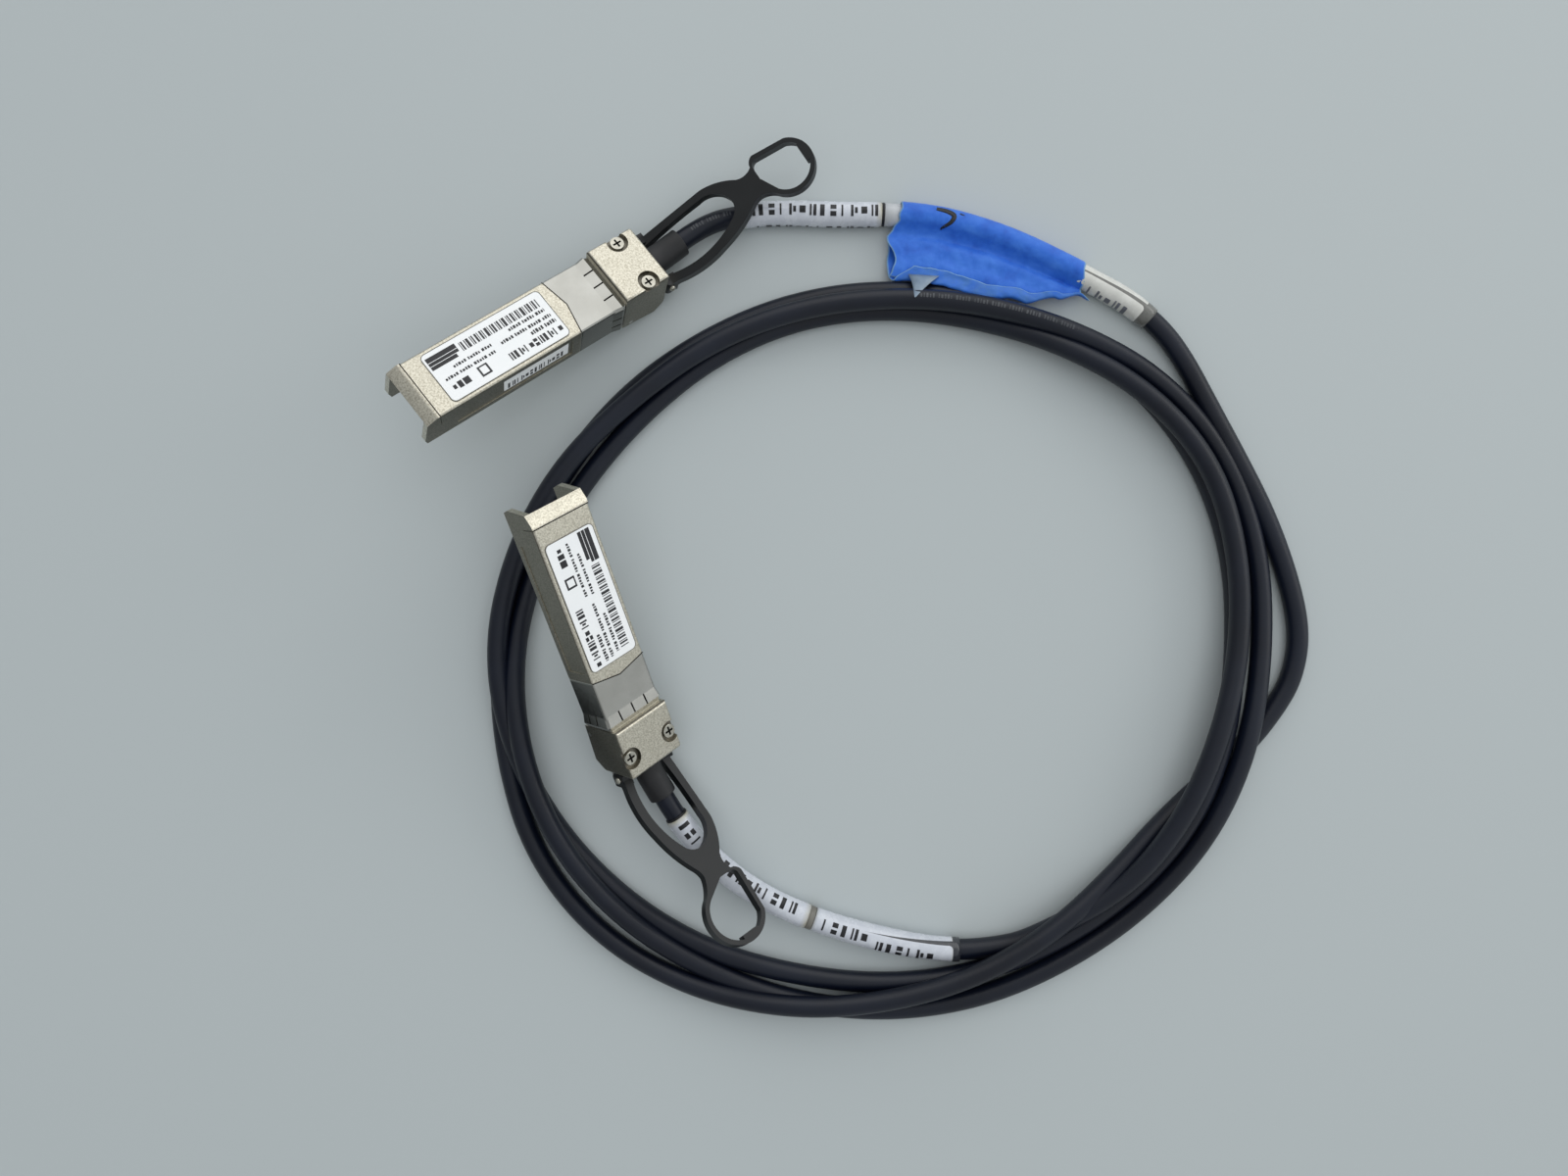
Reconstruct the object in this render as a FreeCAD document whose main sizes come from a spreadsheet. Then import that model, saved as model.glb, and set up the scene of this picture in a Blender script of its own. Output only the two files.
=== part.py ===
import FreeCAD, Part
import math
import os
import re

import Sketcher
from FreeCAD import Placement, Rotation, Vector

# A direct attach copper cable: two pluggable modules with pull tabs, joined by one round cable that
# lies in a loose three-turn coil. Each module is modelled in its own frame, with X from its nose to
# the cable, Z up and z = 0 on the underside of its body, and is then placed on the table.

doc = FreeCAD.newDocument("DirectAttachCable")
sizes = doc.addObject("Spreadsheet::Sheet", "sizes")

dimensions = {
    # module body
    "bodyWidth": 13.55, "bodyHeight": 8.5, "seamHeight": 5.2, "wall": 1.25, "roof": 1.2,
    "floorTop": 3.0, "noseDepth": 3.0, "noseBevel": 1.0, "noseRake": 0.9, "noseCorner": 1.8,
    "bridgeLow": 7.5, "lidSlit": 0.12, "mouthLength": 9.0, "edgeRound": 0.5,
    "panelFront": 6.7, "panelRear": 34.6, "panelLow": 1.7, "panelHigh": 7.1, "panelDepth": 0.2,
    # hood over the cable's end
    "hoodFront": 47.95, "hoodRear": 59.2, "hoodWidth": 13.7, "hoodTop": 10.3, "hoodLip": 0.6,
    "hoodHeel": 56.6, "hoodDrop": 1.6, "hoodToe": 1.0, "hoodRound": 0.6,
    "crimpFront": 50.5, "rearWall": 56.2, "crimpRoom": 3.7, "crimpFloor": 2.6, "crimpRoof": 8.6,
    # spring sheet collar
    "collarFront": 36.6, "collarApex": 1.35, "collarSheet": 0.2, "slotFront": 44.75,
    "slotLength": 2.25, "crestRise": 0.35, "crestSlope": 0.85, "slotWidth": 0.35,
    "slotPitch": 3.4, "sideSlotLow": 2.4, "sideSlotHigh": 5.0,
    # circuit board and wires
    "boardFront": 2.2, "boardLength": 41.8, "boardWidth": 9.2, "boardLow": 3.6, "boardThick": 1.0,
    "railInner": 4.0, "chipLength": 3.0, "chipWidth": 4.4, "chipThick": 1.0, "chipFront": 26.0,
    "wireRadius": 0.55, "wirePitch": 1.6, "wireFront": 40.5, "crimpStart": 51.6,
    "crimpRadius": 2.6, "boreRadius": 2.45,
    # latch lever, its pin and spring
    "leverFront": 33.6, "leverRear": 54.6, "leverLow": 0.05, "leverSheet": 0.6, "leverWidth": 4.8,
    "leverNip": 52.2, "nipDrop": 0.3, "bossFront": 34.1, "bossLength": 1.8, "bossDrop": 1.0,
    "pinX": 50.1, "pinZ": -0.1, "pinRadius": 0.5, "knuckle": 0.95, "hingeGap": 0.06,
    "sideGap": 0.3, "runGap": 0.3, "channelLow": 1.15, "channelSlope": 0.082, "channelRear": 56.0,
    "springSheet": 0.15, "springFront": 40.5, "springRear": 47.2, "springWidth": 2.0,
    # slide, pull tab and rivets
    "slideFront": 51.6, "slideWidth": 8.6, "slideLow": 0.95, "slideSheet": 0.8, "nubLength": 0.4,
    "nubDrop": 0.3, "nubInset": 0.6, "earGap": 0.5, "earLength": 2.0, "earOuter": 5.9,
    "earSheet": 0.6, "earTop": 5.0, "rivetX": 60.7, "rivetZ": 4.2, "rivetRadius": 0.5,
    "rivetHead": 0.75, "tabWidth": 13.5, "tabThick": 2.0, "armWidth": 2.35, "rootGap": 0.4,
    "rootLength": 2.9, "rootLow": 2.3, "rootHigh": 5.7, "tabHingeZ": 3.9, "ringDrop": 0.95,
    "ringRod": 1.0, "lugLength": 1.0, "lugWidth": 4.2, "lugShift": 0.5,
    # screws
    "screwX": 54.67, "screwY": 5.34, "screwHead": 1.45, "screwHeadHeight": 0.75,
    "screwShank": 0.8, "screwTip": 2.5, "screwRoom": 0.95, "sinkRadius": 2.3, "sinkDepth": 1.1,
    "crossLength": 1.9, "crossWidth": 0.38, "crossDepth": 0.4,
    # labels
    "labelFront": 6.9, "labelLength": 27.8, "labelWidth": 11.5, "labelSheet": 0.12,
    "labelCorner": 1.0, "sideLabelFront": 17.8, "sideLabelLength": 15.7, "sideLabelLow": 2.9,
    "sideLabelHeight": 4.0,
    # cable
    "cableRadius": 2.2, "bootRadius": 3.0, "bootStraight": 3.0, "exitRun": 6.5,
    "sleeveRadius": 2.6, "coilHeight": 8.6, "coilRound": 1.8,
    "tapeWrap": 2.5, "tapeSheet": 0.4, "originX": -35.91, "originY": 10.93,
}
for row, (alias, number) in enumerate(dimensions.items(), start=1):
    sizes.set(f"A{row}", alias)
    sizes.set(f"B{row}", str(number))
    sizes.setAlias(f"B{row}", alias)
doc.recompute()

# How each module lies: the turns about Z, Y and X, the place of its frame before it is set down on
# the table, and the set of its own tab: rise and swing in degrees, and how far from the rivets the
# ring's middle is and the radius to the ring's middle line.
modules = {
    "a": {"turn": (36.8, 20.6, -6.2), "place": (-74.5, 34.0), "rise": 30.0, "swing": -6.5,
          "ring": (35.0, 5.45), "bootEnd": (68.0, 0.0, 6.7)},
    "b": {"turn": (-72.9, 21.7, -39.3), "place": (-49.4, 17.1), "rise": 35.5, "swing": -6.5,
          "ring": (36.5, 6.3), "bootEnd": (68.4, 0.3, 6.9)},
}

# The tab's outline in its own plane, along from the rivets and to the left. A point with a third
# number is one that an arc passes through. Both sides end where the ring begins.
tabLeft = [(-0.6, 5.85), (9.5, 6.2, 0), (17.0, 6.45), (21.9, 5.1, 0), (24.6, 3.45),
           (26.7, 3.0, 0), (28.5, 3.7), (29.0, 4.9, 0), (30.1, 5.6)]
tabRight = [(27.0, -2.7), (26.0, -2.85, 0), (25.1, -3.2), (20.5, -5.4, 0), (15.0, -6.9),
            (9.0, -7.6, 0), (3.0, -6.75), (-0.6, -6.3)]
tabLoop = [(-0.6, -3.4), (10.5, -5.6, 0), (19.6, -2.95), (21.0, -1.7, 0), (21.55, 0.4),
           (19.9, 3.4, 0), (15.5, 4.75), (9.5, 4.6, 0), (-0.6, 3.7)]
ringCorner = [(28.95, 0.4), (28.95, 3.1), (29.3, 4.1, 0), (30.2, 4.55)]

# The cable's route on the table, from each boot to the shoulder where it joins the coil.
leadA = [(-8.5, 80.4, 2.75), (0.5, 80.9, 2.65), (11.6, 80.4, 2.6),
         (23.1, 80.6, 2.6), (34.5, 79.2, 2.6), (46.5, 75.6, 2.55), (56.1, 71.3, 2.55),
         (65.8, 66.4, 2.6), (74.4, 61.6, 2.6), (81.6, 55.6, 2.6), (86.6, 48.6, 2.4),
         (91.5, 39.5, 2.2), (97.4, 28.6, 2.2), (103.9, 15.9, 2.2), (108.9, 2.0, 2.2),
         (111.3, -9.5, 2.2), (109.9, -18.6, 2.2), (106.6, -25.0, 2.2)]
leadB = [(-16.8, -57.2, 3.0), (-10.2, -63.0, 2.7), (-2.2, -67.8, 2.6),
         (6.2, -71.3, 2.6), (15.2, -74.2, 2.6), (26.0, -76.8, 2.6), (37.0, -78.1, 2.6),
         (46.4, -77.4, 2.2), (53.5, -75.2, 2.2)]

# The coil's outer and inner outline about its middle: clockwise angle in degrees and radius.
coilMiddle = Vector(22.0, -13.6, 0)
coilOuter = [(22, 82.6), (38, 81.0), (55, 78.8), (72, 78.4), (90, 78.6), (103, 81.0),
             (116, 84.6), (130, 87.6), (145, 89.6), (160, 87.6), (175, 86.6), (190, 84.4),
             (205, 81.6), (220, 79.8), (238, 79.4), (256, 79.2), (274, 79.2), (290, 79.4),
             (304, 81.8), (316, 84.0), (328, 83.3), (340, 83.1), (350, 82.9), (358, 82.2)]
coilInner = [(72, 71.0), (84, 68.8), (97, 68.4), (110, 69.2), (123, 72.0), (137, 75.2),
             (152, 78.4), (166, 78.8), (180, 77.4), (195, 74.0), (210, 71.4), (226, 70.0),
             (244, 70.6), (262, 71.0), (280, 70.8), (296, 72.4), (310, 76.0), (324, 78.0),
             (336, 77.2), (348, 74.6), (362, 71.8), (376, 69.4), (388, 66.6), (400, 65.0),
             (412, 65.4)]
tapeFlag = [(25.0, 82.9), (36.5, 81.6), (47.2, 78.1), (57.0, 73.8), (64.4, 69.6), (64.9, 66.9),
            (63.4, 64.0), (53.0, 62.6), (42.3, 64.4), (30.0, 66.5), (22.3, 73.8)]


# ---------------------------------------------------------------- helpers

def bound(text):
    # an expression on the sheet's cells
    return re.sub(r"[A-Za-z]\w*", lambda word: "sizes." + word.group(0)
                  if word.group(0) in dimensions else word.group(0), text)


def size(text):
    return float(sizes.evalExpression(bound(text)))


def new_body(label, place):
    body = doc.addObject("PartDesign::Body", label)
    body.Label = label
    body.Placement = place
    return body


def new_sketch(body, plane, name, height="0"):
    sketch = body.newObject("Sketcher::SketchObject", f"{body.Name}_{name}")
    role = plane + "_Plane"
    origin_plane = [one for one in body.Origin.OriginFeatures if one.Role == role][0]
    sketch.AttachmentSupport = (origin_plane, [""])
    sketch.MapMode = "FlatFace"
    # the XZ plane faces -Y, the others face +Z and +X
    sketch.setExpression("AttachmentOffset.Base.z", bound(height))
    sketch.Visibility = False
    return sketch


def polygon(sketch, points):
    first = sketch.GeometryCount
    corners = [Vector(size(x), size(y), 0) for x, y in points]
    count = len(points)
    for i in range(count):
        sketch.addGeometry(Part.LineSegment(corners[i], corners[(i + 1) % count]))
    for i in range(count):
        following = first + (i + 1) % count
        sketch.addConstraint(Sketcher.Constraint("Coincident", first + i, 2, following, 1))
    for i, (x, y) in enumerate(points):
        hold(sketch, first + i, 1, x, y)
    return sketch


def hold(sketch, geometry, point, x, y):
    for kind, text in (("DistanceX", x), ("DistanceY", y)):
        number = sketch.addConstraint(Sketcher.Constraint(kind, -1, 1, geometry, point, size(text)))
        sketch.setExpression(f"Constraints[{number}]", bound(text))


def rectangle(sketch, left, right, low, high):
    return polygon(sketch, [(left, low), (right, low), (right, high), (left, high)])


def circle(sketch, x, y, radius):
    centre = Vector(size(x), size(y), 0)
    number = sketch.addGeometry(Part.Circle(centre, Vector(0, 0, 1), size(radius)))
    hold(sketch, number, 3, x, y)
    limit = sketch.addConstraint(Sketcher.Constraint("Radius", number, size(radius)))
    sketch.setExpression(f"Constraints[{limit}]", bound(radius))
    return sketch


def feature(sketch, kind, length, both, forward):
    body = sketch.getParentGeoFeatureGroup()
    made = body.newObject(kind, sketch.Name + "_" + kind.split("::")[1])
    made.Profile = sketch
    made.setExpression("Length", bound(length))
    made.SideType = "Symmetric" if both else "One side"
    made.Reversed = forward
    return made


def pad(sketch, length, both=False):
    return feature(sketch, "PartDesign::Pad", length, both, False)


def pocket(sketch, length, both=False, forward=False):
    # forward cuts along the sketch's normal, otherwise against it
    return feature(sketch, "PartDesign::Pocket", length, both, forward)


def edges_at(shape, test):
    names = []
    for number, edge in enumerate(shape.Edges, start=1):
        if all(test(vertex.Point) for vertex in edge.Vertexes) and test(edge.CenterOfMass):
            names.append(f"Edge{number}")
    return names


def fillet(body, test, radius, name):
    doc.recompute()
    base = body.Tip
    rounded = body.newObject("PartDesign::Fillet", f"{body.Name}_{name}")
    rounded.Base = (base, edges_at(base.Shape, test))
    rounded.setExpression("Radius", bound(radius))
    return rounded


def near(number, text):
    return abs(number - size(text)) < 0.01


# ---------------------------------------------------------------- routes of the cable

def corner_radii(points):
    radii = []
    for before, here, after in zip(points, points[1:], points[2:]):
        turn = (here - before).getAngle(after - here)
        shorter = min((here - before).Length, (after - here).Length)
        radii.append(0.45 * shorter / math.tan(turn / 2))
    return radii


def rounded_edges(points, radii):
    # straight runs joined by tangent arcs
    edges = []
    start = points[0]
    for before, here, after, radius in zip(points, points[1:], points[2:], radii):
        into = (here - before).normalize()
        out = (after - here).normalize()
        turn = into.getAngle(out)
        reach = radius * math.tan(turn / 2)
        first, last = here - into * reach, here + out * reach
        middle = here + (out - into).normalize() * (radius / math.cos(turn / 2) - radius)
        edges += [Part.LineSegment(start, first).toShape(), Part.Arc(first, middle, last).toShape()]
        start = last
    return edges + [Part.LineSegment(start, points[-1]).toShape()]


def tube(edges, radius):
    path = Part.Wire(edges)
    heading = edges[0].tangentAt(edges[0].FirstParameter)
    ring = Part.Circle(edges[0].valueAt(edges[0].FirstParameter), heading, radius).toShape()
    solid = path.makePipeShell([Part.Wire(ring)], True, False)
    share = solid.Volume / (math.pi * radius ** 2 * path.Length)
    if not 0.99 < share < 1.01:
        raise ValueError(f"tube volume is {share:.3f} of its section times its length")
    return solid


def stretch(edges, start, end):
    # the part of a route between two lengths along it
    kept, done = [], 0.0
    for edge in edges:
        low, high = max(start - done, 0.0), min(end - done, edge.Length)
        if high - low > 0.01:
            kept.append(edge.Curve.toShape(edge.getParameterByLength(low),
                                           edge.getParameterByLength(high)))
        done += edge.Length
    return kept


def loose_solid(label, shape, place=Placement()):
    made = doc.addObject("Part::Feature", label)
    made.Label = label
    made.Shape = shape
    made.Placement = place
    return made


# ---------------------------------------------------------------- module: die-cast shells

inner = "bodyWidth / 2 - wall"


def bottom_shell(tag, place):
    body = new_body(f"bottom_shell_{tag}", place)
    shank = new_sketch(body, "YZ", "shank", "noseDepth")
    pad(rectangle(shank, "-bodyWidth / 2", "bodyWidth / 2", "0", "seamHeight"),
        "hoodFront - noseDepth")
    nose = new_sketch(body, "XZ", "nose")
    pad(polygon(nose, [("-noseRake", "noseCorner"), ("0", "bridgeLow"), ("noseBevel", "bodyHeight"),
                       ("noseDepth", "bodyHeight"), ("noseDepth", "0"), ("-noseRake / 3", "0")]),
        "bodyWidth", both=True)
    hood = new_sketch(body, "XZ", "hood")
    pad(polygon(hood, [("hoodFront", "seamHeight"), ("hoodFront", "-hoodLip"),
                       ("hoodHeel", "-hoodDrop"), ("hoodRear", "hoodToe"),
                       ("hoodRear", "seamHeight")]), "hoodWidth", both=True)
    fillet(body, lambda at: near(abs(at.y), "bodyWidth / 2") and near(at.z, "0"),
           "edgeRound", "edges")
    fillet(body, lambda at: near(abs(at.y), "hoodWidth / 2") and near(at.x, "hoodRear"),
           "hoodRound", "corners")
    cavity = new_sketch(body, "XY", "cavity", "bodyHeight - roof + 0.2")
    pocket(rectangle(cavity, "-noseRake - 1", "crimpFront", f"-({inner})", inner),
           "bodyHeight - roof + 0.2 - floorTop")
    crimp = new_sketch(body, "XY", "crimp", "seamHeight")
    pocket(rectangle(crimp, "crimpFront - 1", "rearWall", "-crimpRoom", "crimpRoom"),
           "seamHeight - crimpFloor")
    mouth = new_sketch(body, "XY", "mouth", "floorTop")
    pocket(rectangle(mouth, "-noseRake - 1", "mouthLength", f"-({inner})", inner), "floorTop + 1")
    rails = new_sketch(body, "XY", "rails", "floorTop")
    rectangle(rails, "mouthLength", "boardFront + boardLength", "railInner", inner)
    pad(rectangle(rails, "mouthLength", "boardFront + boardLength", f"-({inner})", "-railInner"),
        "boardLow - floorTop")
    bore = new_sketch(body, "YZ", "bore", "rearWall - 0.5")
    pocket(circle(bore, "0", "seamHeight", "boreRadius"), "hoodRear - rearWall + 1", forward=True)
    lever_channel = new_sketch(body, "XZ", "leverChannel")
    pocket(polygon(lever_channel, [("leverFront - runGap", "-3"), ("channelRear", "-3"),
                                   ("channelRear", "channelLow"), ("pinX", "channelLow"),
                                   ("leverFront - runGap", "channelLow + channelSlope * "
                                    "(pinX - leverFront + runGap)")]),
           "leverWidth + 2 * sideGap", both=True)
    slide_slot = new_sketch(body, "YZ", "slideSlot", "slideFront - runGap")
    pocket(rectangle(slide_slot, "-slideWidth / 2 - sideGap", "slideWidth / 2 + sideGap",
                     "slideLow - runGap", "slideLow + slideSheet + runGap"),
           "hoodRear - slideFront + 2", forward=True)
    screw_holes = new_sketch(body, "XY", "screwHoles", "seamHeight")
    circle(screw_holes, "screwX", "screwY", "screwShank")
    pocket(circle(screw_holes, "screwX", "-screwY", "screwShank"), "seamHeight - screwTip")
    pin_hole = new_sketch(body, "XZ", "pinHole")
    pocket(circle(pin_hole, "pinX", "pinZ", "pinRadius"), "hoodWidth + 1", both=True)
    side_panels(body, "panelLow", "seamHeight + 1")
    neck = new_sketch(body, "YZ", "neck", "collarFront")
    out, flush = "bodyWidth / 2 + 1", "bodyWidth / 2 - collarSheet"
    top = "seamHeight + 1"
    pocket(polygon(neck, [(f"-({out})", top), (f"-({out})", "-1"), (out, "-1"), (out, top),
                          (flush, top), (flush, "collarSheet"), (f"-({flush})", "collarSheet"),
                          (f"-({flush})", top)]), "hoodFront - collarFront", forward=True)
    return body


def side_panels(body, low, high):
    # shallow recess along both sides
    panels = new_sketch(body, "YZ", "panels", "panelFront")
    floor, out = "bodyWidth / 2 - panelDepth", "bodyWidth / 2 + 1"
    rectangle(panels, floor, out, low, high)
    pocket(rectangle(panels, f"-({out})", f"-({floor})", low, high),
           "panelRear - panelFront", forward=True)


def top_shell(tag, place):
    body = new_body(f"top_shell_{tag}", place)
    lid = new_sketch(body, "YZ", "lid", "noseDepth + lidSlit")
    pad(rectangle(lid, "-bodyWidth / 2", "bodyWidth / 2", "seamHeight", "bodyHeight"),
        "hoodFront - noseDepth - lidSlit")
    hood = new_sketch(body, "XZ", "hood")
    pad(rectangle(hood, "hoodFront", "hoodRear", "seamHeight", "hoodTop"), "hoodWidth", both=True)
    fillet(body, lambda at: near(abs(at.y), "bodyWidth / 2") and near(at.z, "bodyHeight"),
           "edgeRound", "edges")
    fillet(body, lambda at: near(at.z, "hoodTop") or (near(at.x, "hoodRear")
                                                      and near(abs(at.y), "hoodWidth / 2")),
           "hoodRound", "corners")
    cavity = new_sketch(body, "XY", "cavity", "seamHeight")
    pocket(rectangle(cavity, "noseDepth - 1", "crimpFront", f"-({inner})", inner),
           "bodyHeight - roof - seamHeight", forward=True)
    crimp = new_sketch(body, "XY", "crimp", "seamHeight")
    pocket(rectangle(crimp, "crimpFront - 1", "rearWall", "-crimpRoom", "crimpRoom"),
           "crimpRoof - seamHeight", forward=True)
    bore = new_sketch(body, "YZ", "bore", "rearWall - 0.5")
    pocket(circle(bore, "0", "seamHeight", "boreRadius"), "hoodRear - rearWall + 1", forward=True)
    sinks = new_sketch(body, "XY", "sinks", "hoodTop")
    circle(sinks, "screwX", "screwY", "sinkRadius")
    pocket(circle(sinks, "screwX", "-screwY", "sinkRadius"), "sinkDepth")
    holes = new_sketch(body, "XY", "holes", "hoodTop")
    circle(holes, "screwX", "screwY", "screwRoom")
    pocket(circle(holes, "screwX", "-screwY", "screwRoom"), "hoodTop - seamHeight + 1")
    side_panels(body, "seamHeight - 1", "panelHigh")
    neck = new_sketch(body, "XY", "neck", "bodyHeight + 1")
    flush, out = "bodyWidth / 2 - collarSheet", "bodyWidth / 2 + 1"
    rectangle(neck, "collarFront", "hoodFront", flush, out)
    pocket(rectangle(neck, "collarFront", "hoodFront", f"-({out})", f"-({flush})"),
           "bodyHeight + 2 - seamHeight")
    chevron = new_sketch(body, "XY", "chevron", "bodyHeight + 1")
    pocket(polygon(chevron, chevron_points("hoodFront", out)), "collarSheet + 1")
    return body


def chevron_points(far, out):
    # the panel's rear edge points toward the cable in a shallow V
    return [(far, f"-({out})"), (far, out), ("collarFront", out), ("collarFront", "bodyWidth / 2"),
            ("collarFront + collarApex", "0"), ("collarFront", "-bodyWidth / 2"),
            ("collarFront", f"-({out})")]


# ---------------------------------------------------------------- module: sheet collar

def octagon(sketch, rise):
    # the body's section grown by a little, with its corners cut
    out, low, high = f"bodyWidth / 2 + {rise}", f"-{rise}", f"bodyHeight + {rise}"
    cut = "edgeRound"
    return polygon(sketch, [(out, f"{low} + {cut}"), (out, f"{high} - {cut}"),
                            (f"{out} - {cut}", high), (f"-({out}) + {cut}", high),
                            (f"-({out})", f"{high} - {cut}"), (f"-({out})", f"{low} + {cut}"),
                            (f"-({out}) + {cut}", low), (f"{out} - {cut}", low)])


def emi_collar(tag, place):
    body = new_body(f"emi_collar_{tag}", place)
    frame = new_sketch(body, "YZ", "sleeve", "collarFront")
    pad(rectangle(frame, "-bodyWidth / 2", "bodyWidth / 2", "0", "bodyHeight"),
        "hoodFront - collarFront")
    fillet(body, lambda at: near(abs(at.y), "bodyWidth / 2"), "edgeRound", "edges")
    crest = "slotFront + slotLength"
    rings = [octagon(new_sketch(body, "YZ", name, height), rise) for name, height, rise in
             (("fingerFoot", "slotFront", "0"), ("fingerCrest", crest, "crestRise"),
              ("fingerEnd", f"{crest} + crestSlope", "0"))]
    fingers = body.newObject("PartDesign::AdditiveLoft", f"{body.Name}_fingers")
    fingers.Profile = rings[0]
    fingers.Sections = rings[1:]
    fingers.Ruled = True
    hollow = new_sketch(body, "YZ", "hollow", "collarFront - 1")
    flush = "bodyWidth / 2 - collarSheet"
    pocket(rectangle(hollow, f"-({flush})", flush, "collarSheet", "bodyHeight - collarSheet"),
           "hoodFront - collarFront + 2", forward=True)
    window = new_sketch(body, "XY", "window", "1")
    room = "leverWidth / 2 + sideGap"
    pocket(rectangle(window, "collarFront - 1", "hoodFront + 1", f"-({room})", room), "3")
    chevron = new_sketch(body, "XY", "chevron", "bodyHeight + 1")
    pocket(polygon(chevron, [("collarFront - 1", "-bodyWidth / 2"),
                             ("collarFront", "-bodyWidth / 2"), ("collarFront + collarApex", "0"),
                             ("collarFront", "bodyWidth / 2"),
                             ("collarFront - 1", "bodyWidth / 2")]), "collarSheet + 1.2")
    top_slots = new_sketch(body, "XY", "topSlots", "bodyHeight + 1")
    for middle in ("-slotPitch", "0", "slotPitch"):
        rectangle(top_slots, "slotFront", crest, f"{middle} - slotWidth / 2",
                  f"{middle} + slotWidth / 2")
    pocket(top_slots, "collarSheet + 1.2")
    under_slots = new_sketch(body, "XY", "underSlots", "0.5")
    for middle in ("-slotPitch * 1.3", "slotPitch * 1.3"):
        rectangle(under_slots, "slotFront", crest, f"{middle} - slotWidth / 2",
                  f"{middle} + slotWidth / 2")
    pocket(under_slots, "2")
    side_slots = new_sketch(body, "XZ", "sideSlots")
    for middle in ("sideSlotLow", "sideSlotHigh"):
        rectangle(side_slots, "slotFront", crest, f"{middle} - slotWidth / 2",
                  f"{middle} + slotWidth / 2")
    pocket(side_slots, "bodyWidth + 4", both=True)
    return body


# ---------------------------------------------------------------- module: inside

def circuit_board(tag, place):
    body = new_body(f"circuit_board_{tag}", place)
    plate = new_sketch(body, "XY", "plate", "boardLow")
    chamfer = "0.6"
    half = "boardWidth / 2"
    pad(polygon(plate, [("boardFront", f"-({half}) + {chamfer}"),
                        (f"boardFront + {chamfer}", f"-({half})"),
                        ("boardFront + boardLength", f"-({half})"),
                        ("boardFront + boardLength", half), (f"boardFront + {chamfer}", half),
                        ("boardFront", f"{half} - {chamfer}")]), "boardThick")
    return body


def memory_chip(tag, place):
    body = new_body(f"memory_chip_{tag}", place)
    outline = new_sketch(body, "XY", "outline", "boardLow + boardThick")
    pad(rectangle(outline, "chipFront", "chipFront + chipLength", "-chipWidth / 2",
                  "chipWidth / 2"), "chipThick")
    return body


def cylinder(name, radius, height, at, axis):
    made = doc.addObject("Part::Cylinder", name)
    made.setExpression("Radius", bound(radius))
    made.setExpression("Height", bound(height))
    made.Placement = Placement(Vector(0, 0, 0), Rotation(Vector(0, 0, 1), axis))
    for letter, text in zip("xyz", at):
        made.setExpression(f"Placement.Base.{letter}", bound(text))
    return made


def group(label, members, place, kind="Part::Compound"):
    made = doc.addObject(kind, label)
    made.Label = label
    if kind == "Part::Compound":
        made.Links = members
    else:
        made.Shapes = members
    made.Placement = place
    return made


def shielded_wires(tag, place):
    wires = []
    for number in range(4):
        across = f"({number} - 1.5) * wirePitch"
        wires.append(cylinder(f"wire_{number}_{tag}", "wireRadius", "crimpStart - wireFront",
                              ("wireFront", across, "boardLow + boardThick + wireRadius"),
                              Vector(1, 0, 0)))
    return group(f"shielded_wires_{tag}", wires, place)


def crimp_ferrule(tag, place):
    made = cylinder(f"ferrule_tube_{tag}", "crimpRadius", "rearWall - crimpStart - 0.4",
                    ("crimpStart", "0", "seamHeight"), Vector(1, 0, 0))
    return group(f"crimp_ferrule_{tag}", [made], place)


def boot_bend():
    return Vector(size("hoodRear + bootStraight"), 0, size("seamHeight"))


def boot(tag, place):
    # the moulded strain relief: a plug in the hood's bore and a sleeve that bends with the cable
    seat = size("rearWall - 0.4")
    root = Vector(size("hoodRear"), 0, size("seamHeight"))
    stub = Part.makeCylinder(size("boreRadius"), root.x - seat, Vector(seat, 0, root.z),
                             Vector(1, 0, 0))
    end = Vector(*modules[tag]["bootEnd"])
    route = [root, boot_bend(), end]
    sleeve = tube(rounded_edges(route, corner_radii(route)), size("bootRadius"))
    return loose_solid(f"boot_{tag}", stub.fuse(sleeve).removeSplitter(), place)


# ---------------------------------------------------------------- module: latch

def latch_lever(tag, place):
    body = new_body(f"latch_lever_{tag}", place)
    low, high, peak = "leverLow", "leverLow + leverSheet", "bossFront + bossLength"
    side = new_sketch(body, "XZ", "side")
    pad(polygon(side, [("leverFront", low), ("bossFront", low), (f"{peak} - 0.15", "-bossDrop"),
                       (peak, "-bossDrop"), (peak, low), ("pinX + 0.9", low),
                       ("leverNip", f"{low} - nipDrop"), ("leverRear", "leverLow + 0.05"),
                       ("leverRear", f"{high} + 0.05"), ("leverNip", f"{high} - nipDrop"),
                       ("pinX + 0.9", high), ("leverFront", high)]), "leverWidth", both=True)
    knuckle = new_sketch(body, "XZ", "knuckle")
    pad(circle(knuckle, "pinX", "pinZ", "knuckle"), "leverWidth", both=True)
    hole = new_sketch(body, "XZ", "hole")
    pocket(circle(hole, "pinX", "pinZ", "pinRadius + hingeGap"), "leverWidth + 1", both=True)
    return body


def lever_pin(tag, place):
    made = cylinder(f"pin_rod_{tag}", "pinRadius", "hoodWidth", ("pinX", "-hoodWidth / 2", "pinZ"),
                    Vector(0, 1, 0))
    return group(f"lever_pin_{tag}", [made], place)


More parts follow.
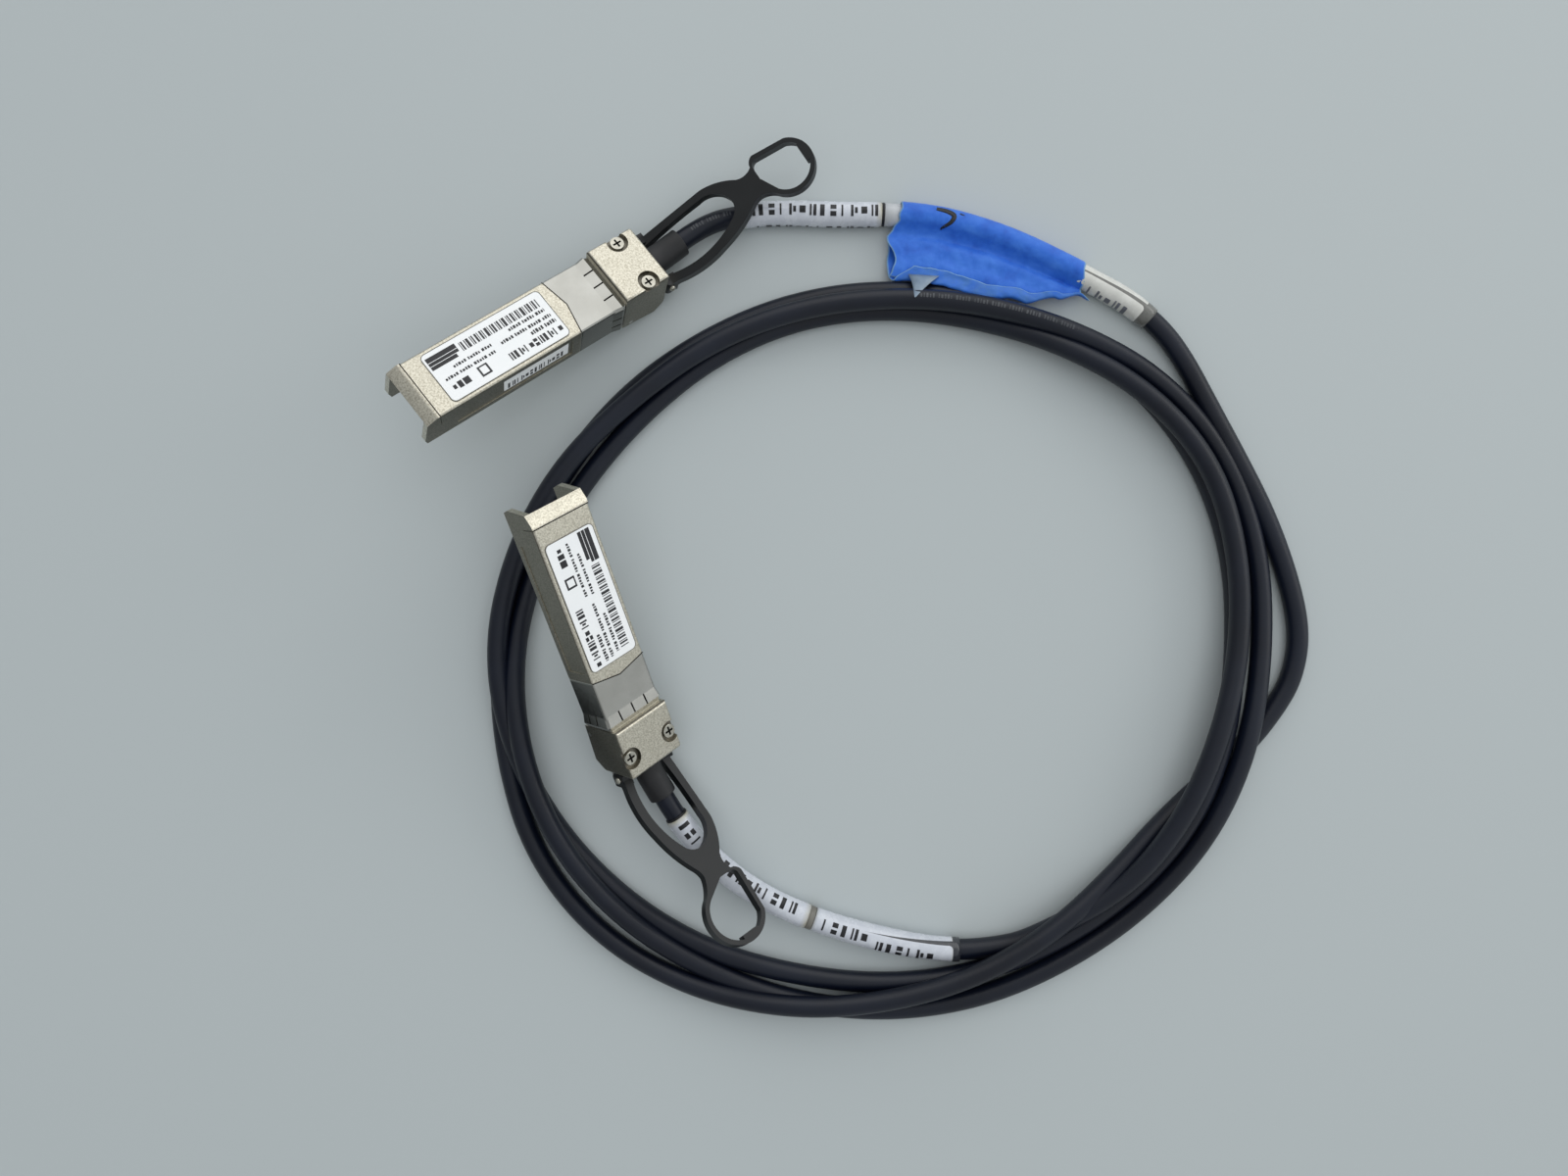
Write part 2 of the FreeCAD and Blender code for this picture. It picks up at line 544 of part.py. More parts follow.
def latch_spring(tag, place):
    # a leaf that hangs from the channel's roof and keeps the latch down
    body = new_body(f"latch_spring_{tag}", place)
    roof = "channelLow + channelSlope * (pinX - ({0}))"
    heel, tip = "springFront + 1.2", "springRear - 0.5"
    leaf_end = "leverLow + leverSheet + 0.32"
    side = new_sketch(body, "XZ", "side")
    pad(polygon(side, [("springFront", roof.format("springFront")),
                       ("springFront", roof.format("springFront") + " - springSheet"),
                       (heel, roof.format(heel) + " - springSheet - 0.1"), (tip, leaf_end),
                       ("springRear", leaf_end + " + 0.05"),
                       ("springRear", leaf_end + " + 0.05 + springSheet"),
                       (tip, leaf_end + " + springSheet"), (heel, roof.format(heel))]),
        "springWidth", both=True)
    return body


def pull_slide(tag, place):
    body = new_body(f"pull_slide_{tag}", place)
    rear, half = "hoodRear + earGap", "slideWidth / 2"
    tongue = new_sketch(body, "XY", "tongue", "slideLow")
    pad(polygon(tongue, [("slideFront", f"-({half})"), (rear, f"-({half})"), (rear, "-earOuter"),
                         (f"{rear} + earLength", "-earOuter"), (f"{rear} + earLength", "earOuter"),
                         (rear, "earOuter"), (rear, half), ("slideFront", half)]), "slideSheet")
    nub = new_sketch(body, "XY", "nub", "slideLow - nubDrop")
    pad(rectangle(nub, "slideFront + nubInset", "slideFront + nubInset + nubLength",
                  "-leverWidth / 2", "leverWidth / 2"), "nubDrop + 0.1")
    ears = new_sketch(body, "XY", "ears", "slideLow")
    rectangle(ears, rear, f"{rear} + earLength", "earOuter - earSheet", "earOuter")
    pad(rectangle(ears, rear, f"{rear} + earLength", "-earOuter", "-(earOuter - earSheet)"),
        "earTop - slideLow")
    rivets = new_sketch(body, "XZ", "rivets")
    pocket(circle(rivets, "rivetX", "rivetZ", "rivetRadius"), "2 * earOuter + 1", both=True)
    return body


def tab_rivets(tag, place):
    rivets = []
    for side in (-1, 1):
        start = "tabWidth / 2 - armWidth + 0.3"
        shank = cylinder(f"rivet_shank_{side + 1}_{tag}", "rivetRadius",
                         "armWidth - 0.3", ("rivetX", f"{side} * ({start})", "rivetZ"),
                         Vector(0, side, 0))
        head = doc.addObject("Part::Sphere", f"rivet_head_{side + 1}_{tag}")
        head.setExpression("Radius", bound("rivetHead"))
        head.Angle1 = 0
        head.Placement = Placement(Vector(), Rotation(Vector(0, 0, 1), Vector(0, side, 0)))
        for letter, text in zip("xyz", ("rivetX", f"{side} * tabWidth / 2", "rivetZ")):
            head.setExpression(f"Placement.Base.{letter}", bound(text))
        rivets.append(group(f"rivet_{side + 1}_{tag}", [shank, head], Placement(),
                            "Part::MultiFuse"))
    return group(f"tab_rivets_{tag}", rivets, place)


def arc_or_line(sketch, path):
    # a closed outline: pairs are corners, triples are points that an arc passes through
    corners = [point for point in path if len(point) == 2]
    steps = path + [corners[0]]
    here, through = None, None
    for point in steps:
        at = Vector(point[0], point[1], 0)
        if len(point) == 3:
            through = at
        elif here is None:
            here = at
        else:
            piece = Part.Arc(here, through, at) if through else Part.LineSegment(here, at)
            sketch.addGeometry(piece)
            here, through = at, None


def pull_tab(tag, place):
    # one moulding: two arms beside the boot, a web over the cable and a finger ring
    body = new_body(f"pull_tab_{tag}", place)
    module = modules[tag]
    front, middle = "hoodRear + rootGap", "tabWidth / 2 - armWidth"
    root = new_sketch(body, "XZ", "root")
    pad(rectangle(root, front, f"{front} + rootLength", "rootLow", "rootHigh"), "tabWidth",
        both=True)
    gap = new_sketch(body, "XY", "gap", "rootHigh + 1")
    pocket(rectangle(gap, f"{front} - 1", f"{front} + rootLength + 1", f"-({middle})", middle),
           "rootHigh - rootLow + 2")
    fillet(body, lambda at: near(at.x, "hoodRear + rootGap") and near(abs(at.y), "tabWidth / 2"),
           "0.7", "corners")
    plate = new_sketch(body, "XY", "plate")
    plate.setExpression("AttachmentOffset.Base.z", None)
    plate.AttachmentOffset = Placement(Vector(size("rivetX"), 0, size("tabHingeZ")),
                                       Rotation(module["swing"], -module["rise"], 0))
    middle, radius = module["ring"]
    rod = size("ringRod / 2")

    def on_ring(reach, along, across):
        return (middle + along * reach, across * reach - size("ringDrop"))

    outside, inside = radius + rod, radius - rod
    last, waist = on_ring(outside, -0.82, -0.57), tabRight[0]
    hollow = ((last[0] + waist[0]) / 2, (last[1] + waist[1]) / 2 + 0.35, 0)
    arc_or_line(plate, tabLeft + [on_ring(outside, 0.43, 0.903), (*on_ring(outside, 1, 0), 0),
                                  last, hollow] + tabRight + tabLoop)
    arc_or_line(plate, ringCorner + [on_ring(inside, 0.43, 0.903), (*on_ring(inside, 1, 0), 0),
                                     on_ring(inside, -0.82, -0.57)])
    pad(plate, "tabThick", both=True)
    lug = new_sketch(body, "XY", "lug")
    lug.setExpression("AttachmentOffset.Base.z", None)
    lug.AttachmentOffset = plate.AttachmentOffset
    wide, shift = size("lugWidth / 2"), size("lugShift")
    start, stop = middle + inside - size("lugLength"), middle + radius
    arc_or_line(lug, [(start, -wide - shift), (start, wide - shift), (stop, wide - shift),
                      (stop, -wide - shift)])
    pad(lug, "tabThick", both=True)
    pockets = new_sketch(body, "XY", "earPockets", "rootLow - 1")
    rear = "hoodRear + earGap"
    rectangle(pockets, rear, f"{rear} + earLength", "earOuter - earSheet", "earOuter")
    pocket(rectangle(pockets, rear, f"{rear} + earLength", "-earOuter", "-(earOuter - earSheet)"),
           "earTop - rootLow + 1", forward=True)
    holes = new_sketch(body, "XZ", "rivetHoles")
    pocket(circle(holes, "rivetX", "rivetZ", "rivetRadius"), "tabWidth + 1", both=True)
    trim = new_sketch(body, "XZ", "trim")
    pocket(rectangle(trim, "hoodFront", front, "0", "bodyHeight * 2"), "tabWidth + 1", both=True)
    return body


# ---------------------------------------------------------------- module: screws and labels

def shell_screws(tag, place):
    screws = []
    floor = "hoodTop - sinkDepth"
    for side in (-1, 1):
        across = f"{side} * screwY"
        head = cylinder(f"screw_head_{side + 1}_{tag}", "screwHead", "screwHeadHeight",
                        ("screwX", across, floor), Vector(0, 0, 1))
        shank = cylinder(f"screw_shank_{side + 1}_{tag}", "screwShank", f"{floor} - screwTip",
                         ("screwX", across, "screwTip"), Vector(0, 0, 1))
        blank = group(f"screw_blank_{side + 1}_{tag}", [head, shank], Placement(),
                      "Part::MultiFuse")
        for turned, (length, width) in enumerate((("crossLength", "crossWidth"),
                                                  ("crossWidth", "crossLength"))):
            slot = doc.addObject("Part::Box", f"cross_{turned}_{side + 1}_{tag}")
            slot.setExpression("Length", bound(length))
            slot.setExpression("Width", bound(width))
            slot.setExpression("Height", bound("crossDepth + 0.5"))
            spot = (f"screwX - {length} / 2", f"{across} - {width} / 2",
                    f"{floor} + screwHeadHeight - crossDepth")
            for letter, text in zip("xyz", spot):
                slot.setExpression(f"Placement.Base.{letter}", bound(text))
            cut = doc.addObject("Part::Cut", f"screw_cut_{turned}_{side + 1}_{tag}")
            cut.Base, cut.Tool = blank, slot
            blank = cut
        screws.append(blank)
    return group(f"shell_screws_{tag}", screws, place)


def top_label(tag, place):
    body = new_body(f"top_label_{tag}", place)
    sheet = new_sketch(body, "XY", "sheet", "bodyHeight")
    pad(rectangle(sheet, "labelFront", "labelFront + labelLength", "-labelWidth / 2",
                  "labelWidth / 2"), "labelSheet")
    fillet(body, lambda at: near(abs(at.y), "labelWidth / 2")
           and (near(at.x, "labelFront") or near(at.x, "labelFront + labelLength")),
           "labelCorner", "corners")
    return body


def side_label(tag, place):
    body = new_body(f"side_label_{tag}", place)
    sheet = new_sketch(body, "XZ", "sheet", "bodyWidth / 2 - panelDepth")
    pad(rectangle(sheet, "sideLabelFront", "sideLabelFront + sideLabelLength", "sideLabelLow",
                  "sideLabelLow + sideLabelHeight"), "labelSheet")
    return body


# ---------------------------------------------------------------- both modules

def set_down(module):
    # rest the lowest corner of the hood on the table
    turn = Rotation(*module["turn"])
    half = size("hoodWidth / 2")
    corners = [Vector(size(x), side * half, size(z)) for side in (-1, 1)
               for x, z in (("hoodFront", "-hoodLip"), ("hoodHeel", "-hoodDrop"),
                            ("hoodRear", "hoodToe"))]
    lowest = min(turn.multVec(corner).z for corner in corners)
    along, across = module["place"]
    return Placement(Vector(along - size("originX"), across - size("originY"), -lowest), turn)


nodes = []
places = {tag: set_down(module) for tag, module in modules.items()}
for tag, place in places.items():
    for make in (bottom_shell, top_shell, emi_collar, circuit_board, memory_chip, shielded_wires,
                 crimp_ferrule, boot, latch_lever, lever_pin, latch_spring, pull_slide, pull_tab,
                 tab_rivets, shell_screws, top_label):
        nodes.append(make(tag, place))
nodes.append(side_label("a", places["a"]))


# ---------------------------------------------------------------- cable, sleeves and tape

def on_table(point):
    return Vector(*point) - Vector(size("originX"), size("originY"), 0)


def route_of(tag, points):
    # the cable leaves its boot straight, then follows the listed points
    end = Vector(*modules[tag]["bootEnd"])
    heading = (end - boot_bend()).normalize()
    start = [places[tag].multVec(at) for at in (end, end + heading * size("exitRun"))]
    return start + [on_table(point) for point in points]


routes = {"a": route_of("a", leadA), "b": route_of("b", leadB)}
paths = {}
for tag, points in routes.items():
    radii = corner_radii(points)
    paths[tag] = rounded_edges(points, radii)
    print(f"lead {tag} bend radii:", " ".join(f"{radius:.0f}" for radius in radii))
    nodes.append(loose_solid(f"lead_{tag}", tube(paths[tag], size("cableRadius"))))


def wrapped(tag, start, end, outer):
    edges = stretch(paths[tag], start, end)
    return tube(edges, outer).cut(tube(edges, size("cableRadius")))


# label sleeves: the lengths from the boot between which each one lies
sleeves = {"sleeve_a_inner": ("a", 14.0, 45.0), "sleeve_a_outer": ("a", 91.2, 108.0),
           "sleeve_b_inner": ("b", 6.0, 42.6), "sleeve_b_outer": ("b", 43.6, 71.9)}
tapeStart, tapeEnd, tapeMargin = 48.0, 88.0, 8.0
for label, (tag, start, end) in sleeves.items():
    nodes.append(loose_solid(label, wrapped(tag, start, end, size("sleeveRadius"))))


def masking_tape():
    # a strip folded round the cable and stuck to itself
    corners = [on_table((x, y, size("cableRadius - tapeSheet / 2"))) for x, y in tapeFlag]
    flag = Part.Face(Part.makePolygon(corners + corners[:1]))
    flag = flag.extrude(Vector(0, 0, size("tapeSheet")))
    roll = flag.fuse(tube(stretch(paths["a"], tapeStart, tapeEnd), size("tapeWrap")))
    core = stretch(paths["a"], tapeStart - tapeMargin, tapeEnd + tapeMargin)
    roll = roll.cut(tube(core, size("cableRadius")))
    return loose_solid("masking_tape", roll.removeSplitter())


nodes.append(masking_tape())


# ---------------------------------------------------------------- coil

def ring_point(angle, radius):
    turn = math.radians(angle)
    return coilMiddle + Vector(radius * math.cos(turn), -radius * math.sin(turn), 0)


def shoulder(route, side):
    # the flat step that a lead meets, square to it
    end, before = route[-1], route[-2]
    heading = Vector(end.x - before.x, end.y - before.y, 0).normalize()
    across = Vector(-heading.y, heading.x, 0) * (side * size("cableRadius") * 1.2)
    return [Vector(end.x, end.y, 0) + across, Vector(end.x, end.y, 0) - across]


def coil():
    body = new_body("coil", Placement())
    plan = new_sketch(body, "XY", "plan")
    for outline, step in ((coilOuter, shoulder(routes["a"], -1)),
                          (coilInner, shoulder(routes["b"], 1))):
        chain = [step[1]] + [on_table(ring_point(*at)) for at in outline] + [step[0]]
        for edge in rounded_edges(chain, corner_radii(chain)):
            curve = edge.Curve
            ends = [vertex.Point for vertex in edge.Vertexes]
            if isinstance(curve, Part.Line):
                plan.addGeometry(Part.LineSegment(*ends))
            else:
                middle = edge.valueAt((edge.FirstParameter + edge.LastParameter) / 2)
                plan.addGeometry(Part.Arc(ends[0], middle, ends[1]))
        plan.addGeometry(Part.LineSegment(chain[-1], chain[0]))
    pad(plan, "coilHeight")
    doc.recompute()
    fillet(body, lambda at: (near(at.z, "0") or near(at.z, "coilHeight")) and all(
        math.hypot(at.x - route[-1].x, at.y - route[-1].y) > size("cableRadius") * 1.15
        for route in routes.values()), "coilRound", "edges")
    return body


nodes.append(coil())


# ---------------------------------------------------------------- check and write

doc.recompute()
for item in doc.Objects:
    if {"Invalid", "Error"} & set(item.State):
        raise RuntimeError(f"{item.Label} did not build: {item.State}")
os.makedirs("parts", exist_ok=True)
for node in nodes:
    shape = node.Shape
    if shape.isNull() or not shape.isValid() or not shape.Solids:
        raise RuntimeError(f"{node.Label} has no valid solid")
    shape.exportStep(f"parts/{node.Label}.step")
    print(f"{node.Label}: {len(shape.Solids)} solid, {shape.Volume:.1f} mm3")
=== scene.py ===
import bisect
import math

import bpy
from mathutils import Euler, Matrix, Vector, noise
from mathutils.bvhtree import BVHTree


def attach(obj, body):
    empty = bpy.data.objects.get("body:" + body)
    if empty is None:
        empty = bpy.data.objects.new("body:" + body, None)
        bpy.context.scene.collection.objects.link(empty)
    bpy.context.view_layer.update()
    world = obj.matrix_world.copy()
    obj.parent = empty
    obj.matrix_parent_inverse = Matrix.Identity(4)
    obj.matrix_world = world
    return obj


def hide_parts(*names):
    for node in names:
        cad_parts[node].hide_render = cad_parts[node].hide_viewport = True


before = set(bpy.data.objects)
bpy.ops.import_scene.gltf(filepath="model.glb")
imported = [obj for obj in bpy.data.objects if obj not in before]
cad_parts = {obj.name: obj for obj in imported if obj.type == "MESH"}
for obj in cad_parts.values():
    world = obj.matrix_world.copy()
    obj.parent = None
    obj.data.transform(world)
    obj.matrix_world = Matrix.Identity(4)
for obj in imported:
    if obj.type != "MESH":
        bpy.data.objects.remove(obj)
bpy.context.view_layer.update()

# Two pluggable modules and the round cable between them, coiled loosely on a table.
# Lengths are in metres where no comment says millimetres. The table's own grid starts at
# gridStart in the frame.
gridStart = Vector((0.03591, -0.01093, 0))
mm = 0.001

modules = {
    "a": {"turn": (36.8, 20.6, -6.2), "place": (-0.03859, 0.02307, 0.0221)},
    "b": {"turn": (-72.9, 21.7, -39.3), "place": (-0.01349, 0.00617, 0.02611)},
}


def deselectAll():
    if bpy.context.object and bpy.context.object.mode != "OBJECT":
        bpy.ops.object.mode_set(mode="OBJECT")
    bpy.ops.object.select_all(action="DESELECT")


def pick(piece):
    deselectAll()
    piece.select_set(True)
    bpy.context.view_layer.objects.active = piece


def moduleMatrix(tag):
    yaw, pitch, roll = (math.radians(angle) for angle in modules[tag]["turn"])
    turn = Euler((roll, pitch, yaw), "XYZ").to_matrix().to_4x4()
    return Matrix.Translation(modules[tag]["place"]) @ turn


def inMetres(point):
    # a point written in millimetres
    return Vector([value / 1000 for value in point])


def applyAll(piece):
    pick(piece)
    for modifier in list(piece.modifiers):
        bpy.ops.object.modifier_apply(modifier=modifier.name)


def finishPiece(piece, name, body, slot, material, replaced=()):
    piece.name = name
    piece.data.name = name
    piece.data.materials.clear()
    piece.data.materials.append(material)
    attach(piece, body)
    if replaced:
        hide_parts(*replaced)
    return piece


def linkPiece(name, data):
    piece = bpy.data.objects.new(name, data)
    bpy.context.scene.collection.objects.link(piece)
    return piece


def meshPiece(name, verts, faces):
    mesh = bpy.data.meshes.new(name)
    mesh.from_pydata(verts, [], faces)
    return linkPiece(name, mesh)


def newMaterial(name):
    material = bpy.data.materials.new(name)
    material.use_nodes = True
    tree = material.node_tree
    return material, tree, tree.nodes["Principled BSDF"]


def objectPlace(tree, stretch=(1, 1, 1)):
    place = tree.nodes.new("ShaderNodeTexCoord")
    mapping = tree.nodes.new("ShaderNodeMapping")
    mapping.inputs["Scale"].default_value = stretch
    tree.links.new(place.outputs["Object"], mapping.inputs["Vector"])
    return mapping.outputs["Vector"]


def noiseOf(tree, vector, scale, detail=3.0, roughness=0.5):
    texture = tree.nodes.new("ShaderNodeTexNoise")
    texture.inputs["Scale"].default_value = scale
    texture.inputs["Detail"].default_value = detail
    texture.inputs["Roughness"].default_value = roughness
    tree.links.new(vector, texture.inputs["Vector"])
    return texture.outputs["Fac"]


def rampOf(tree, factor, stops):
    ramp = tree.nodes.new("ShaderNodeValToRGB")
    while len(ramp.color_ramp.elements) < len(stops):
        ramp.color_ramp.elements.new(0.5)
    for element, (at, colour) in zip(ramp.color_ramp.elements, stops):
        element.position = at
        element.color = (*colour, 1)
    tree.links.new(factor, ramp.inputs["Fac"])
    return ramp.outputs["Color"]


def bumpOf(tree, height, strength, distance, normal=None):
    bump = tree.nodes.new("ShaderNodeBump")
    bump.inputs["Strength"].default_value = strength
    bump.inputs["Distance"].default_value = distance
    tree.links.new(height, bump.inputs["Height"])
    if normal is not None:
        tree.links.new(normal, bump.inputs["Normal"])
    return bump.outputs["Normal"]


def spread(tree, factor, low, high, source=(0.0, 1.0)):
    # a factor over the source's range becomes a number from low to high
    scale = tree.nodes.new("ShaderNodeMapRange")
    for label, value in (("From Min", source[0]), ("From Max", source[1]), ("To Min", low),
                         ("To Max", high)):
        scale.inputs[label].default_value = value
    tree.links.new(factor, scale.inputs["Value"])
    return scale.outputs["Result"]


def stepOf(tree, kind, operation, *values):
    # a Math or VectorMath step; each value is a socket or what the socket is set to
    step = tree.nodes.new("ShaderNode" + kind)
    step.operation = operation
    for socket, value in zip(step.inputs, values):
        if isinstance(value, bpy.types.NodeSocket):
            tree.links.new(value, socket)
        else:
            socket.default_value = value
    single = kind == "Math" or operation in ("LENGTH", "DOT_PRODUCT")
    return step.outputs["Value" if single else "Vector"]


def mixOf(tree, factor, first, second):
    # colours by factor; each is a socket or three numbers
    mix = tree.nodes.new("ShaderNodeMix")
    mix.data_type = "RGBA"
    tree.links.new(factor, mix.inputs[0])
    for socket, value in ((mix.inputs[6], first), (mix.inputs[7], second)):
        if isinstance(value, tuple):
            socket.default_value = (*value, 1)
        else:
            tree.links.new(value, socket)
    return mix.outputs[2]


def patternOf(tree):
    # the place in a piece's own pattern
    pattern = tree.nodes.new("ShaderNodeUVMap")
    pattern.uv_map = "pattern"
    return pattern.outputs["UV"]


def partsOf(tree, vector):
    parts = tree.nodes.new("ShaderNodeSeparateXYZ")
    tree.links.new(vector, parts.inputs["Vector"])
    return parts.outputs


def surface(shader, tree, colour, roughness, normal):
    for label, socket in (("Base Color", colour), ("Roughness", roughness), ("Normal", normal)):
        tree.links.new(socket, shader.inputs[label])


def plastic(name, dark, light, gloss, grain=2200.0, bump=(0.25, 0.00004), patch=180.0, low=0.3):
    # colour and gloss vary in patches, and a finer grain raises the surface
    material, tree, shader = newMaterial(name)
    place = objectPlace(tree)
    blotch = noiseOf(tree, place, patch)
    fine = noiseOf(tree, place, grain, 2.0)
    surface(shader, tree, rampOf(tree, blotch, [(low, dark), (0.7, light)]),
            spread(tree, blotch, *gloss), bumpOf(tree, fine, *bump))
    return material


def plated(name, dark, light, gloss):
    material, tree, shader = newMaterial(name)
    shader.inputs["Metallic"].default_value = 1.0
    patch = noiseOf(tree, objectPlace(tree), 900.0)
    surface(shader, tree, rampOf(tree, patch, [(0.3, dark), (0.7, light)]),
            spread(tree, patch, *gloss), bumpOf(tree, patch, 0.1, 0.00002))
    return material


def castNickel(name, dark, light):
    # nickel over a cast zinc shell: warm, with a fine sand grain
    look = {"grain": 3000.0, "patch": 220.0, "gloss": (0.28, 0.42), "bump": (0.6, 0.000035)}
    material, tree, shader = newMaterial(name)
    shader.inputs["Metallic"].default_value = 1.0
    place = objectPlace(tree)
    grain = noiseOf(tree, place, look["grain"], 2.0, 0.6)
    surface(shader, tree, rampOf(tree, grain, [(0.3, dark), (0.62, light)]),
            spread(tree, noiseOf(tree, place, look["patch"]), *look["gloss"]),
            bumpOf(tree, grain, *look["bump"]))
    return material


def springSheet():
    # rolled and bright-plated sheet, nearly a mirror, with faint rolling lines along it
    look = {"dark": (0.40, 0.395, 0.365), "light": (0.475, 0.47, 0.44), "patch": 140.0,
            "lines": (90, 2600, 2600), "gloss": (0.16, 0.27), "bump": (0.05, 0.00001)}
    material, tree, shader = newMaterial("springSheet")
    shader.inputs["Metallic"].default_value = 1.0
    patch = noiseOf(tree, objectPlace(tree), look["patch"])
    lines = noiseOf(tree, objectPlace(tree, look["lines"]), 1.0, 2.0)
    surface(shader, tree, rampOf(tree, patch, [(0.3, look["dark"]), (0.7, look["light"])]),
            spread(tree, patch, *look["gloss"]), bumpOf(tree, lines, *look["bump"]))
    return material


# Most finishes give a name, a dark and a light colour and a range of roughness. A plastic may
# add its grain, bump and patches.
finishes = {
    "shell": castNickel("castNickel", (0.43, 0.395, 0.315), (0.71, 0.675, 0.575)),
    # painted shade on the flanks: darker copies of the plating and the sheet, where the sides
    # mirror the shaded table
    "flankShade": castNickel("flankShadeNickel", (0.17, 0.16, 0.13), (0.27, 0.255, 0.21)),
    "sheetFlankShade": plated("flankShadeSheet", (0.17, 0.17, 0.155), (0.20, 0.20, 0.185), (0.2, 0.3)),
    "sheet": springSheet(),
    "screw": plated("screwNickel", (0.40, 0.385, 0.33), (0.58, 0.56, 0.49), (0.16, 0.28)),
    "steel": plated("springSteel", (0.42, 0.41, 0.39), (0.58, 0.57, 0.54), (0.24, 0.38)),
    "foil": plated("wireFoil", (0.6, 0.6, 0.6), (0.75, 0.75, 0.75), (0.2, 0.34)),
    "seam": plated("seamShade", (0.012, 0.011, 0.010), (0.035, 0.032, 0.028), (0.5, 0.7)),
    "sink": plated("sinkShade", (0.13, 0.12, 0.10), (0.26, 0.24, 0.20), (0.4, 0.56)),
    "recess": plated("recessShade", (0.010, 0.010, 0.009), (0.03, 0.028, 0.025), (0.5, 0.7)),
    "gold": plated("padGold", (0.62, 0.40, 0.10), (0.80, 0.56, 0.20), (0.2, 0.34)),
    "boot": plastic("bootRubber", (0.010, 0.010, 0.011), (0.020, 0.020, 0.022), (0.46, 0.60),
                    1800.0, (0.5, 0.00005)),
    "tab": plastic("tabNylon", (0.001, 0.0015, 0.0025), (0.004, 0.005, 0.006), (0.34, 0.46),
                   2600.0, (0.2, 0.00003)),
    "board": plastic("boardLacquer", (0.010, 0.075, 0.035), (0.016, 0.11, 0.05), (0.22, 0.32),
                     1400.0, (0.1, 0.00002)),
    "chip": plastic("chipResin", (0.012, 0.012, 0.012), (0.02, 0.02, 0.021), (0.5, 0.6)),
    "label": plastic("labelFilm", (0.94, 0.955, 0.965), (0.97, 0.98, 0.985), (0.34, 0.44),
                     1200.0, (0.05, 0.00002)),
    "jacket": plastic("jacketPvc", (0.0010, 0.0026, 0.0090), (0.0034, 0.0066, 0.0175),
                      (0.36, 0.50), 2600.0, (0.3, 0.00004), 60.0, 0.35),
    "ink": plastic("printInk", (0.008, 0.008, 0.010), (0.02, 0.02, 0.024), (0.3, 0.42)),
    "paleInk": plastic("wornInk", (0.10, 0.11, 0.13), (0.24, 0.25, 0.29), (0.3, 0.42)),
    "jacketInk": plastic("jacketInk", (0.035, 0.04, 0.05), (0.07, 0.075, 0.085), (0.4, 0.5)),
    # a grey line of painted shade round the label's edge
    "rim": plastic("labelRim", (0.15, 0.145, 0.125), (0.24, 0.23, 0.20), (0.4, 0.5)),
    "darkRing": plastic("darkRing", (0.006, 0.006, 0.007), (0.014, 0.014, 0.016), (0.4, 0.5)),
    "paleRing": plastic("paleRing", (0.13, 0.125, 0.11), (0.22, 0.21, 0.185), (0.34, 0.46)),
    "whiteRing": plastic("whiteRing", (0.46, 0.48, 0.50), (0.60, 0.62, 0.65), (0.3, 0.42)),
    "tail": plastic("tornFilm", (0.13, 0.19, 0.27), (0.30, 0.38, 0.46), (0.3, 0.4)),
}
print("finishes", len(finishes))


# how loose triangles are joined, and how sharp an edge is broken
softening = {"join": 0.0000015, "flat": 0.6, "angle": 30, "segments": 2}


def softenedCopy(node, edge, reshape=None):
    # a copy of a solid with its loose triangles joined and its sharp edges broken
    piece = linkPiece(node + "_dressed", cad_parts[node].data.copy())
    pick(piece)
    bpy.ops.mesh.customdata_custom_splitnormals_clear()
    bpy.ops.object.mode_set(mode="EDIT")
    bpy.ops.mesh.select_all(action="SELECT")
    bpy.ops.mesh.remove_doubles(threshold=softening["join"])
    bpy.ops.mesh.dissolve_limited(angle_limit=math.radians(softening["flat"]))
    bpy.ops.object.mode_set(mode="OBJECT")
    if reshape:
        reshape(piece)
    if not edge:
        bpy.ops.object.shade_flat()
        return piece
    bevel = piece.modifiers.new("edges", "BEVEL")
    bevel.width = edge
    bevel.segments = softening["segments"]
    bevel.limit_method = "ANGLE"
    bevel.angle_limit = math.radians(softening["angle"])
    bevel.use_clamp_overlap = True
    bevel.loop_slide = False
    applyAll(piece)
    bpy.ops.object.shade_smooth_by_angle(angle=math.radians(softening["angle"]))
    # flat faces keep their own light, and only the broken edges turn it
    weighted = piece.modifiers.new("light", "WEIGHTED_NORMAL")
    weighted.mode = "FACE_AREA"
    weighted.weight = 100
    weighted.keep_sharp = True
    applyAll(piece)
    return piece


# Sizes here are in millimetres, in a module's own directions: along from the nose, across and up.
screw = {"along": 54.67, "across": 5.34, "reach": 1.0, "half": 0.215, "floor": 9.45, "top": 9.93}
sink = {"radius": 2.4, "low": 9.0, "high": 9.35}
groove = {"along": 47.95, "near": 0.3, "above": 8}
nose = {"bevel": 1.0, "near": 0.05, "low": 8.3, "slope": 2.2}

# finish, slot in the record, width of the broken edge and the body it moves with
dressed = {
    "bottom_shell": ("shell", "die_cast_shell", 0.00012, "root"),
    "top_shell": ("shell", "die_cast_shell", 0.00012, "root"),
    "emi_collar": ("sheet", "spring_sheet", 0, "root"),
    "boot": ("boot", "boot_rubber", 0.0003, "root"),
    "shell_screws": ("screw", "screw_steel", 0.00010, "root"),
    "latch_lever": ("steel", "spring_sheet", 0.00006, "lever"),
    "pull_slide": ("steel", "spring_sheet", 0.00008, "slide"),
    "tab_rivets": ("screw", "steel_parts", 0.00004, "slide"),
    "pull_tab": ("tab", "tab_nylon", 0.00035, "slide"),
}
